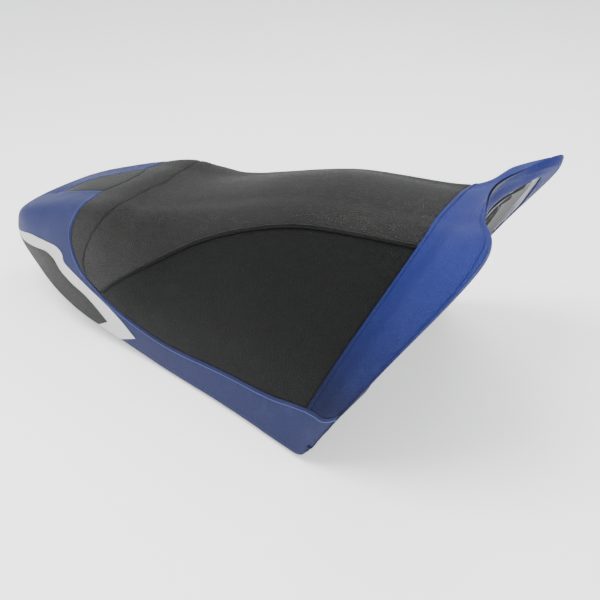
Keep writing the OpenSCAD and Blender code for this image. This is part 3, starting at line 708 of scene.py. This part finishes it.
def top_panel(material):
    left = beside(NECK_SEAM[:2] + RIDGE_SEAM, -1.3 * MM, 80)
    rear = beside(across(ARC_SEAM), -GAP, 100)
    corner_knot = [BAND_S - BUTT, left[-1][1]]
    left = ended(left, rear[-1], corner_knot)
    rear[0] = [left[0][0], -left[0][1]]
    front = [[BAND_S - BUTT, t] for t in np.linspace(-corner_knot[1], corner_knot[1], 9)]
    knots = coons(rear, front, mirrored(left), left, graded(0.25), graded(0.42))
    seams = ("arc", "ridge_left", "ridge_right", "band", "neck_left", "neck_right")
    return sewn("top_panel_sewn", knots, seams, material)


def bolster_panel(material):
    tip = [[3.26, 0.783], [3.27, 0.786]]
    rear = ended(beside(across(REAR_SEAM), -GAP, 120), [3.26, -0.783], tip[0])
    front = ended(beside(across(ARC_SEAM), GAP, 100), [3.27, -0.786], tip[1])
    knots = coons(rear, front, mirrored(tip), tip, graded(0.36), graded(0.06, 3 * MM))
    return sewn("bolster_panel_sewn", knots, ("arc", "rear"), material)


def side_panels(material):
    upper = beside(split(RIDGE_SEAM, 0.03, 1, 90), 1.3 * MM)
    lower = beside(split(LOWER_REAR, 0.03, 1, 70), -GAP)
    upper[-1] = [BAND_S - BUTT, upper[-1][1]]
    lower[-1] = [BAND_S - BUTT, lower[-1][1]]
    knots = coons([upper[0], lower[0]], [upper[-1], lower[-1]], upper, lower, graded(0.15), graded(0.45))

    def make(hand, side):
        sewn("side_panel_%s_sewn" % hand, flip(knots, side), ("ridge_" + hand, "lower_" + hand, "band"),
             material)

    right_and_left(make)


def front_band(material):
    left = beside(LOWER_FRONT, -GAP)
    left[0] = [BAND_S + BUTT, left[0][1]]
    left[-1] = [left[-1][0] - HEM_BUTT, left[-1][1]]
    rear = [[BAND_S + BUTT, t] for t in np.linspace(-left[0][1], left[0][1], 41)]
    front = [[float(hem_s(t)) - HEM_BUTT, t] for t in np.linspace(-left[-1][1], left[-1][1], 41)]
    front = ended(front, [left[-1][0], -left[-1][1]], left[-1])
    knots = coons(rear, front, mirrored(left), left, graded(0.56), graded(0.13, 4 * MM))
    return sewn("front_band_sewn", knots, ("band", "hem", "lower_left", "lower_right"), material,
                extra=lambda p: lip(p, "band"))


def turned_edge(s, radius=EDGE_R, strip=TURN_UNDER):
    """Reaches, beyond the bottom edge, of the turn and of the stapled strip."""
    length = norm(along_t(COVER, s, np.ones_like(s)))
    radius = radius * (1 + np.maximum(0, 1.5 - s))
    bend = 1 + radius / length * np.linspace(-1, 1, 9)[:, None]
    flat = 1 + (radius + (strip - radius) * np.linspace(0, 1, 5)[1:, None]) / length
    return np.concatenate([bend, flat])[::-1]


def with_turned_edge(knots):
    """A grid whose first row lies where the turn begins, with the turn and the strip before it."""
    s = knots[0, :, 0]
    under = turned_edge(s)[:-1]
    return np.concatenate([np.stack([np.broadcast_to(s, under.shape), under], -1), knots])


def turn_start(s):
    s = np.asarray(s, float)
    radius = EDGE_R * (1 + np.maximum(0, 1.5 - s))
    return 1 - radius / norm(along_t(COVER, s, np.ones_like(s)))


TAIL_SEAMS = ("rear", "deck_left", "deck_right", "lower_left", "lower_right")


def lower_lip(points):
    """Slight raised edge of the blue bands under the lower seams."""
    left = points[:, 1] > 0
    height = np.zeros(len(points))
    height[left], height[~left] = lip(points[left], "lower_left"), lip(points[~left], "lower_right")
    return 0.2 * height


def side_bands(material):
    upper = beside([NECK_SEAM[1]] + LOWER_ALL, GAP)
    upper[0] = [NECK_S + BUTT, upper[0][1]]
    upper[-1] = [LOWER_ALL[-1][0] - HEM_BUTT, upper[-1][1]]
    stations = np.linspace(NECK_S + BUTT, float(hem_s(1.0)) - HEM_BUTT, 60)
    lower = np.stack([stations, turn_start(stations)], 1).tolist()
    fractions = graded(0.56, 5 * MM)
    knots = coons(lower, upper, [lower[0], upper[0]], [lower[-1], upper[-1]], fractions, graded(0.05, 4 * MM))
    knots = with_turned_edge(knots)[:, ::-1]

    def make(hand, side):
        sewn("side_band_%s_sewn" % hand, flip(knots, side), TAIL_SEAMS + ("hem",), material,
             extra=lower_lip)

    right_and_left(make)


def tail_cap(material):
    by_corner = [2.5, 0.228]
    seam = DECK_SEAM[:4] + [by_corner, DECK_SEAM[-1]] + REAR_SEAM[3:] + [NECK_SEAM[1]]
    upper = beside(seam, GAP, 130)
    upper[0] = DECK_SEAM[0]
    upper[-1] = [NECK_S - BUTT, upper[-1][1]]
    centre_t = np.linspace(float(turn_start(0.0)), 0, 30)
    centre = [[0, t] for t in centre_t] + [[s, 0] for s in np.linspace(0, DECK_SEAM[0][0], 10)[1:]]
    stations = (NECK_S - BUTT) * np.linspace(0, 1, 61)
    lower = np.stack([stations, turn_start(stations)], 1).tolist()
    u = np.concatenate([np.linspace(0, 0.96, 100), np.linspace(0.96, 1, 9)[1:]])
    v = graded(0.13, 3.5 * MM)
    knots = coons(lower, upper, centre, [lower[-1], upper[-1]], u, v)
    knots = np.maximum(knots, 0)
    knots = joined_halves(with_turned_edge(knots))
    return sewn("tail_cap_sewn", knots, TAIL_SEAMS, material, extra=lower_lip)


def tail_deck_panel(material):
    tip = [DECK_SEAM[0][0] + 0.03, 0.012]
    side = beside(DECK_SEAM, -GAP, 60)
    front = beside(across(REAR_SEAM[:3]), GAP, 40)
    met = [2.516, 0.2265]
    left = ended(side, tip, met)
    front = ended(front, [met[0], -met[1]], met)
    rear = [[tip[0], -tip[1]], tip]
    knots = coons(rear, front, mirrored(left), left, graded(0.06, 3 * MM), graded(0.15, 4 * MM))
    return sewn("tail_deck_panel_sewn", knots, ("rear", "deck_left", "deck_right"), material)


def appliques(white, grey):
    """White flash and dark window, printed films laid on the blue vinyl."""
    film = 0.4 * MM
    prints = (("flash", FLASH_TOP, 0.75, 4.12, 1, white, "white_vinyl", 0.15 * MM + film),
              ("window", WINDOW_TOP, 1.02, 3.68, 0.995, grey, "deck_vinyl", 0.25 * MM + 2 * film))
    for kind, top, first, final, foot, material, slot, lift in prints:
        bottom = [[s, foot] for s in np.linspace(first, final, 30)]
        knots = coons([top[0], bottom[0]], [top[-1], bottom[-1]], top, bottom, graded(0.06, 3 * MM),
                      graded(0.4, 4 * MM))

        def make(hand, side):
            sewn("%s_%s_print" % (kind, hand), flip(knots, side), TAIL_SEAMS, material,
                 lift=lift, thickness=film, stands_for=("%s_%s" % (kind, hand),), extra=lower_lip)

        right_and_left(make)


# ---- Hem, lining, foam -----------------------------------------------
HEM_ROLL = 2 * MM


def hood_inside(s, t, depth):
    """Inner face of the foam, which thins towards the rim, and faces at some depth inside it."""
    s, t = paired(s, t)
    thinned = ramp(s, 8.6, 9) * (6 - 2 * ramp(np.abs(t), 0.5, 1)) * MM
    return below(FOAM_IN, s, t, depth - thinned)


def hem_inside(t):
    """How far the hem reaches back inside the hood: widest at the peak's corners, narrow down the sides."""
    t = np.abs(t)
    return (5.5 + 8 * (1 - ramp(t, 0.58, 0.72)) + 14 * np.exp(-((t - 0.5) / 0.12) ** 2)) * MM


LINING_GAP = 0.5 * MM
LINING_FROM_S, LINING_REACH, HEM_LAP_S = 8.43, 0.76, 0.07


def rim_hem(material):
    """Strip folded over the rim: a flat outer leg, a round fold and a wider inner leg."""
    t = np.linspace(-1.03, 1.03, 201)
    within = np.clip(t, -1, 1)
    rim = np.full_like(t, HOOD_S)
    forward = unit(np.cross(along_t(COVER, rim, within), outward(COVER, rim, within)))
    slope_out = norm(along_s(COVER, rim - 0.1, within))
    slope_in = norm(along_s(FOAM_IN, rim - 0.1, within))
    set_back = 2 * MM
    outer_s = [hem_s(t) + HEM_BUTT + f * (HOOD_S - set_back / slope_out - hem_s(t) - HEM_BUTT)
               for f in (0, 0.04, 0.09, 0.16, 0.25, 0.4, 0.6, 0.8, 1)]
    inner_s = [HOOD_S - (set_back + f * hem_inside(within)) / slope_in
               for f in (0, 0.15, 0.3, 0.5, 0.7, 0.9, 1)]

    def surface(depth):
        legs = []
        for s in outer_s:
            base = wrapped(COVER, s, t)
            height = relief(base, ("hem",))
            legs.append(base + (height - depth)[:, None] * wrapped_normal(COVER, s, t))
        out, back = legs[-1], []
        for s in inner_s:
            back.append(hood_inside(s, within, LINING + LINING_GAP + 0.4 * MM + VINYL - depth))
        first = back[0]
        middle, half = (out + first) / 2, (out - first) / 2
        reach = (np.minimum(norm(half), HEM_ROLL) - 0.3 * depth)[:, None]
        fold = [middle + math.cos(a) * half + math.sin(a) * reach * forward
                for a in np.linspace(0, math.pi, 13)[1:-1]]
        return np.array(legs + fold + back)

    return slab("rim_hem_sewn", surface(0), surface(VINYL), material,
                stands_for=("rim_hem",))


def front_lining(material):
    """Lining under the hem, slack enough to fall into long folds across the hood."""
    t = np.linspace(-LINING_REACH, LINING_REACH, 201)
    s = np.linspace(LINING_FROM_S, HOOD_S - HEM_LAP_S, 90)
    s, t = np.meshgrid(s, t, indexing="ij")
    base = hood_inside(s, t, LINING_GAP)
    flat = base.reshape(-1, 3)
    slope = norm(along_s(FOAM_IN, np.full_like(s, 8.9), t))
    from_rim = (HOOD_S - s) * slope
    free = ramp(from_rim, hem_inside(t) + 1 * MM, hem_inside(t) + 14 * MM) * ramp(s, LINING_FROM_S, 8.55)
    skew = 30 * np.abs(t) + 10 * (s - 8.4) + 1.8 * ripple(flat, 9, 2).reshape(s.shape)
    folds = (0.5 + 0.5 * np.sin(skew)) ** 2 * (0.6 + 0.7 * ripple(flat, 14, 5).reshape(s.shape))
    small = 0.35 * np.abs(ripple(flat, 60, 8)).reshape(s.shape)
    drop = (np.maximum(folds, 0) * 6 * MM + small * 3 * MM) * free
    normal = outward(FOAM_IN, s, t)
    return slab("lining_cloth", base - drop[..., None] * normal, base - (drop + LINING)[..., None] * normal,
                material, stands_for=("front_lining",))


FOAM_EDGE_R = 9 * MM


def foam_block(material):
    """Moulded foam between cover and pan, thinning to the rim of the hood."""
    s = np.concatenate([np.linspace(0, 1, 16), np.linspace(1, HOOD_S - 0.06, 110)[1:]])
    t = np.linspace(-1, 1, 97)
    s, t = np.meshgrid(s, t, indexing="ij")
    depth = VINYL + SLACK
    outer = wrapped(COVER, s, t, FOAM_EDGE_R) - depth * wrapped_normal(COVER, s, t, FOAM_EDGE_R)
    low = corner(COVER, s[:, 0], np.ones(len(s)), depth + 1 * MM, depth + 1 * MM)
    outer[:, -1] = low
    outer[:, 0] = low * [1, -1, 1]
    outer[0, :, 1] = 0
    inner = hood_inside(s, t, 0)
    inner[0, :, 1] = 0
    return slab("foam_block", outer, inner, material, fold=True, stands_for=("foam_cushion",))


# ---- Pan -------------------------------------------------------------
PAN_S, LOBE_S, LOBE_FROM_S, LOBE_REACH = 8.4, 8.92, 7.5, (0.7, 0.8)
PAD_Z, PAD_S, PAD_REACH = 144 * MM, (2.05, 2.75), 0.26
PAN_R, RIB_H, RIB_W = 4 * MM, 5 * MM, 1.6 * MM
RIB_REACHES = (0.12, 0.3, 0.47)
RIB_STATIONS = (1.5, 3.15, 3.8, 4.45, 5.1, 5.75, 6.4, 7.05, 7.7)
# Shares of the pan's grid that hold half of the turn at its bottom edge, and the lip
TURN_SHARE, LIP_SHARE, LIP_RUN = 0.03, 0.13, 30 * MM


def ribs(s, t):
    """Height of the stiffening ribs on the pan's inner face."""
    wide = norm(along_t(PAN, s, np.full_like(s, 0.5)))
    long_ = norm(along_s(PAN, s, np.full_like(s, 0.5)))
    height = np.zeros_like(s)
    for reach in RIB_REACHES:
        height = np.maximum(height, ramp(-np.abs(np.abs(t) - reach) * wide, -2 * RIB_W, -RIB_W))
    for station in RIB_STATIONS:
        bar = ramp(-np.abs(s - station) * long_, -2 * RIB_W, -RIB_W)
        height = np.maximum(height, bar * ramp(-np.abs(t), -0.88, -0.8))
    clear_of_pad = 1 - ramp(s, 1.9, 2.0) * (1 - ramp(s, 2.85, 2.95)) * ramp(-np.abs(t), -0.34, -0.3)
    return RIB_H * height * clear_of_pad * ramp(s, 0.8, 1.1) * (1 - ramp(s, 8.2, 8.3))


def with_lines(values, marks, near):
    """Grid lines with a few more on both sides of each mark."""
    extra = [mark + sign * step for mark in marks for step in near for sign in (-1, 1)]
    return np.unique(np.round(np.concatenate([values, extra]), 5))


def base_pan(material):
    """Ribbed shell with a lobe at each side of the hood, turned in to a lip at its bottom edge."""
    s = with_lines(np.linspace(0, PAN_S, 150), RIB_STATIONS, (0.012, 0.022, 0.036))
    wall = with_lines(np.linspace(0, 1 - TURN_SHARE, 70), RIB_REACHES, (0.005, 0.009, 0.014))
    turn = np.linspace(1 - TURN_SHARE, 1 + TURN_SHARE, 9)[1:]
    flange = 1 + TURN_SHARE + np.linspace(0, 1, 9)[1:] * LIP_SHARE
    half = np.concatenate([wall, turn, flange])
    reach = np.concatenate([-half[:0:-1], half])
    s, t = np.meshgrid(s, reach, indexing="ij")
    lobe = np.clip((np.abs(t) - LOBE_REACH[0]) / (LOBE_REACH[1] - LOBE_REACH[0]), 0, 1)
    station = s + np.maximum(0, s - LOBE_FROM_S) / (PAN_S - LOBE_FROM_S) * lobe * (LOBE_S - PAN_S)
    run = np.maximum(np.abs(t) - 1 - TURN_SHARE, 0) / LIP_SHARE * LIP_RUN
    side = np.where(t < 0, -1.0, 1.0)
    length = norm(along_t(PAN, station, side))
    around = (np.clip((np.abs(t) - 1) / TURN_SHARE, -1, 1) * PAN_R + run) / length
    t_real = np.where(np.abs(t) > 1 - TURN_SHARE, side * (1 + around), t)
    outer = wrapped(PAN, station, t_real, PAN_R)
    normal = wrapped_normal(PAN, station, t_real, PAN_R)
    inner = outer - (PAN_WALL + np.where(np.abs(t) < 1, ribs(station, t), 0))[..., None] * normal
    on_pad = (ramp(station, PAD_S[0] - 0.05, PAD_S[0]) * (1 - ramp(station, PAD_S[1], PAD_S[1] + 0.05))
              * (1 - ramp(np.abs(t), PAD_REACH, PAD_REACH + 0.02)))
    inner[..., 2] += on_pad * (PAD_Z - inner[..., 2])
    return slab("pan_shell", outer, inner, material, fold=True, stands_for=("base_pan",))


# ---- Piping and stitches ---------------------------------------------
def piping(material):
    """Thin welt cord along each ridge seam, sinking away to the rear."""
    s, t = at(RIDGE_SEAM, np.linspace(0, 1, 220)).T
    centre = skin(COVER, s, t)
    sink = 0.4 * MM + 1.5 * MM * (1 - ramp(s, 3.9, 5.4))
    path = centre - sink[:, None] * outward(COVER, s, t)
    for hand, side in (("left", 1), ("right", -1)):
        points, faces = tube(path * [1, side, 1], 1.7 * MM, 12)
        add_mesh("piping_%s_cord" % hand, points, faces, material,
                 stands_for=("piping_" + hand,))


STITCH_R, STITCH_FILL = 0.42 * MM, 0.66


def stitches(name, knots, gap, pitch, seams, material, extra=None, lift=0.05 * MM):
    """Row of lockstitches: short sunken-ended threads along a line beside a seam."""
    line = np.array(beside(knots, gap, 240) if gap else at(knots, np.linspace(0, 1, 240)))
    points = wrapped(COVER, line[:, 0], line[:, 1])
    length = np.concatenate([[0], np.cumsum(norm(np.diff(points, axis=0)))])
    count = int(length[-1] / pitch)
    marks = (np.arange(count)[:, None] + np.linspace(0, STITCH_FILL, 7)[None]) * pitch
    s = np.interp(marks, length, line[:, 0])
    t = np.interp(marks, length, line[:, 1])
    base, normal = wrapped(COVER, s, t), wrapped_normal(COVER, s, t)
    flat = base.reshape(-1, 3)
    height = relief(flat, seams) + (extra(flat) if extra else 0)
    arch = lift + STITCH_R * (1 - 2.6 * np.linspace(-1, 1, 7) ** 4)
    rows = base + (height.reshape(s.shape) + arch)[..., None] * normal
    all_points, all_faces = [], []
    for row in rows:
        points, faces = tube(row, STITCH_R, 6)
        offset = len(all_points)
        all_points += points.tolist()
        all_faces += [tuple(k + offset for k in face) for face in faces]
    return add_mesh(name, all_points, all_faces, material)


def all_stitches(pale, navy, black):
    """Topstitching: offset and pitch of each row in millimetres, beside its seam."""
    for hand, side in (("left", 1), ("right", -1)):
        turn = (lambda k: k) if side > 0 else mirrored
        tail = ("rear", "deck_" + hand)
        ridge = split(RIDGE_SEAM, 0.42, 0.99, 60)
        rows = (("lower", LOWER_ALL, 4.6, 3.4, TAIL_SEAMS + ("hem",), pale, "blue_vinyl", lower_lip),
                ("ridge", ridge, -4.2, 3.2, ("ridge_" + hand, "band"), black, "grain_vinyl", None),
                ("deck", DECK_SEAM, 4, 3.4, tail, pale, "blue_vinyl", None),
                ("rear", REAR_SEAM[3:], 4, 3.4, tail, pale, "blue_vinyl", None))
        for row, seam, gap, pitch, seams, material, slot, extra in rows:
            stitches("stitches_%s_%s" % (row, hand), turn(seam), gap * MM * side, pitch * MM, seams,
                     material, extra)
    stitches("stitches_band", BAND_SEAM, -LIP_W, 3.1 * MM, ("band", "lower_left", "lower_right"), navy,
             extra=lambda p: lip(p, "band"))


# ---- Rubber feet, grip, spring ---------------------------------------
def lathe(profile, centre, sides=40):
    """Points and faces of an upright turned piece; profile is (radius, height), closed on its axis."""
    angle = 2 * math.pi * np.arange(sides) / sides
    points = [centre + [r * math.cos(a), r * math.sin(a), h] for r, h in profile for a in angle]
    return points, ring_faces(len(profile), sides)


FOOT_STATIONS, FOOT_IN = (4.3, 5.5, 7.3), 24 * MM


def rubber_feet(material):
    """Moulded buffers under the lip: a flange, a waist, and a sole with a shallow dimple."""
    points, faces = [], []
    for station in FOOT_STATIONS:
        for side in (1.0, -1.0):
            place = corner(PAN, np.array(station), np.array(side), FOOT_IN, 0)
            top = float(place[2]) / MM
            profile = MM * np.array([(0.8, 0.7), (2.6, 0.6), (3.4, 0), (5.6, 0), (6.6, 0.5), (7, 1.4),
                                     (6.5, 0.45 * top), (6.7, 0.55 * top), (7.9, 0.63 * top),
                                     (8, top - 0.7), (7.5, top - 0.1)])
            some, more = lathe(profile, np.array([place[0], place[1], 0]))
            faces += [tuple(k + len(points) for k in face) for face in more]
            points += some
    return add_mesh("rubber_buffers", points, faces, material, stands_for=("rubber_feet",),
                    sharp=35)


def latch_grip(material):
    """Moulded grip: a rounded body waisted for the fingers, with ribs across its top and bottom."""
    low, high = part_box("latch_pull")
    middle = (np.array(low) + np.array(high)) / 2
    half = (np.array(high) - np.array(low)) / 2
    rows, sides = 61, 40
    points = []
    for i in range(rows):
        f = -1 + 2 * i / (rows - 1)
        end = (1 - abs(f) ** 8) ** 0.25 if abs(f) < 1 else 0
        end = max(end, 0.35)
        waist = 1 - 0.1 * math.exp(-((f + 0.1) / 0.45) ** 2)
        rib = 0.5 * MM * (0.5 + 0.5 * math.cos(f * math.pi * 7)) * (1 if abs(f) < 0.75 else 0)
        for k in range(sides):
            a = 2 * math.pi * k / sides
            c, d = math.cos(a), math.sin(a)
            c, d = math.copysign(abs(c) ** 0.5, c), math.copysign(abs(d) ** 0.5, d)
            points.append(middle + np.array([f * half[0], c * half[1] * end * waist,
                                             d * (half[2] * end * waist - rib * (abs(d) > 0.8))]))
    return add_mesh("latch_grip", points, ring_faces(rows, sides), material, body="hook",
                    stands_for=("latch_pull",), sharp=40)


LATCH_X, PIVOT_Z = -210 * MM, 112 * MM
SPRING_R, SPRING_WIRE, SPRING_TURNS, SPRING_Y = 6.4 * MM, 0.9 * MM, 4, (4.2 * MM, 11.6 * MM)


def latch_spring(material):
    """Round-wire torsion spring with a leg each way."""
    turns = np.linspace(0, 1, 32 * SPRING_TURNS + 1)
    angle = math.pi / 2 + 2 * math.pi * SPRING_TURNS * turns
    coil = np.stack([LATCH_X + SPRING_R * np.cos(angle), SPRING_Y[0] + (SPRING_Y[1] - SPRING_Y[0]) * turns,
                     PIVOT_Z + SPRING_R * np.sin(angle)], 1)
    rear = coil[0] + np.linspace(1, 0, 12)[:-1, None] * np.array([-26, 0, -2]) * MM
    front = coil[-1] + np.linspace(0, 1, 12)[1:, None] * np.array([20, 0, 0]) * MM
    points, faces = tube(np.vstack([rear, coil, front]), SPRING_WIRE, 10)
    return add_mesh("latch_torsion_spring", points, faces, material, stands_for=("latch_spring",))


# Fittings carried over from the CAD, with the radius that each one's edges are broken to
CARRIED = {"cover_staples": 0.2 * MM, "mount_tab_left": 0.5 * MM, "mount_tab_right": 0.5 * MM,
           "tab_rivets": 0.4 * MM, "latch_bracket": 0.5 * MM, "latch_rivets": 0.4 * MM, "latch_pin": 0.4 * MM,
           "latch_hook": 0.7 * MM}


def dress_fittings(zinc, bright):
    """Steel finish and broken edges on the fittings carried over from the CAD."""
    for name, radius in CARRIED.items():
        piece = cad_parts[name]
        piece.data.materials.clear()
        piece.data.materials.append(bright if name in ("cover_staples", "latch_pin") else zinc)
        bevel = piece.modifiers.new("edges", "BEVEL")
        bevel.width = radius
        bevel.segments = 2
        bevel.limit_method = "ANGLE"
        bevel.angle_limit = math.radians(40)
        bevel.use_clamp_overlap = True


# ---- Finishes --------------------------------------------------------
top_vinyl = vinyl("top_vinyl", (0.009, 0.0085, 0.0078), (0.018, 0.017, 0.0157), 3.2 * MM, 1.6 * MM,
                  0.58, 0.26, worn=(0.03, 0.029, 0.027))
side_vinyl = vinyl("side_vinyl", (0.0022, 0.0024, 0.0024), (0.005, 0.0052, 0.0053), 2.8 * MM, 1.3 * MM,
                   0.6, 0.16)
deck_vinyl = vinyl("deck_vinyl", (0.007, 0.007, 0.006), (0.012, 0.012, 0.0102), 2.4 * MM, 0.8 * MM,
                   0.58, 0.26)
# Painted shade: the front band and hem darken to near black towards the bottom, where they turn away from the
# light.
front_blue = vinyl("front_blue", (0.014, 0.023, 0.15), (0.024, 0.036, 0.185), 2.2 * MM, 0.6 * MM, 0.55, 0.13,
                   painted_light_ramp=("Z", 0.1, 0.29, (0.0006, 0.0026, 0.024)), worn=(0.014, 0.025, 0.11))
# Painted reflection of the pale floor: the side bands and tail cap grow paler towards the tail. The rubbed
# patches are wear.
band_blue = vinyl("band_blue", (0.008, 0.0125, 0.066), (0.0135, 0.018, 0.082), 2.2 * MM, 0.6 * MM, 0.55, 0.24,
                  painted_light_ramp=("X", -0.38, -0.05, (0.013, 0.021, 0.11)), worn=(0.032, 0.038, 0.12))
white_vinyl = vinyl("white_vinyl", (0.5, 0.5, 0.49), (0.62, 0.62, 0.61), 1.6 * MM, 0.08 * MM, 0.42)
lining_cloth = cloth("lining_cloth", (0.12, 0.12, 0.15), (0.24, 0.245, 0.3), 0.5 * MM, 0.4,
                     Sheen_Weight=0.3, Sheen_Roughness=0.4)
pan_plastic = plastic("pan_plastic", (0.008, 0.008, 0.009), (0.016, 0.016, 0.017), 900, 0.15 * MM, 0.5)
grip_plastic = plastic("grip_plastic", (0.01, 0.01, 0.011), (0.022, 0.022, 0.023), 1400, 0.12 * MM, 0.45)
rubber = plastic("rubber", (0.011, 0.011, 0.011), (0.02, 0.02, 0.019), 600, 0.2 * MM, 0.75)
cushion_foam = foam_rubber("cushion_foam", (0.05, 0.05, 0.052), (0.12, 0.12, 0.12), 1.3 * MM, 0.9)
zinc = steel("zinc_plated_steel", (0.52, 0.53, 0.55), 0.34, (0.22, 0.2, 0.17))
bright = steel("bright_steel", (0.62, 0.62, 0.63), 0.25, (0.3, 0.28, 0.25))
pale_thread = thread("pale_blue_thread", (0.09, 0.12, 0.32), 0.6)
navy_thread = thread("navy_thread", (0.006, 0.011, 0.07), 0.6)
dark_thread = thread("dark_thread", (0.03, 0.03, 0.029), 0.6)


foam = foam_block(cushion_foam)
base_pan(pan_plastic)
top_panel(top_vinyl)
bolster_panel(top_vinyl)
side_panels(side_vinyl)
front_band(front_blue)
side_bands(band_blue)
tail_cap(band_blue)
tail_deck_panel(deck_vinyl)
appliques(white_vinyl, deck_vinyl)
rim_hem(front_blue)
front_lining(lining_cloth)
piping(side_vinyl)
all_stitches(pale_thread, navy_thread, dark_thread)
rubber_feet(rubber)
latch_grip(grip_plastic)
latch_spring(bright)
dress_fittings(zinc, bright)

make_camera()
make_studio()
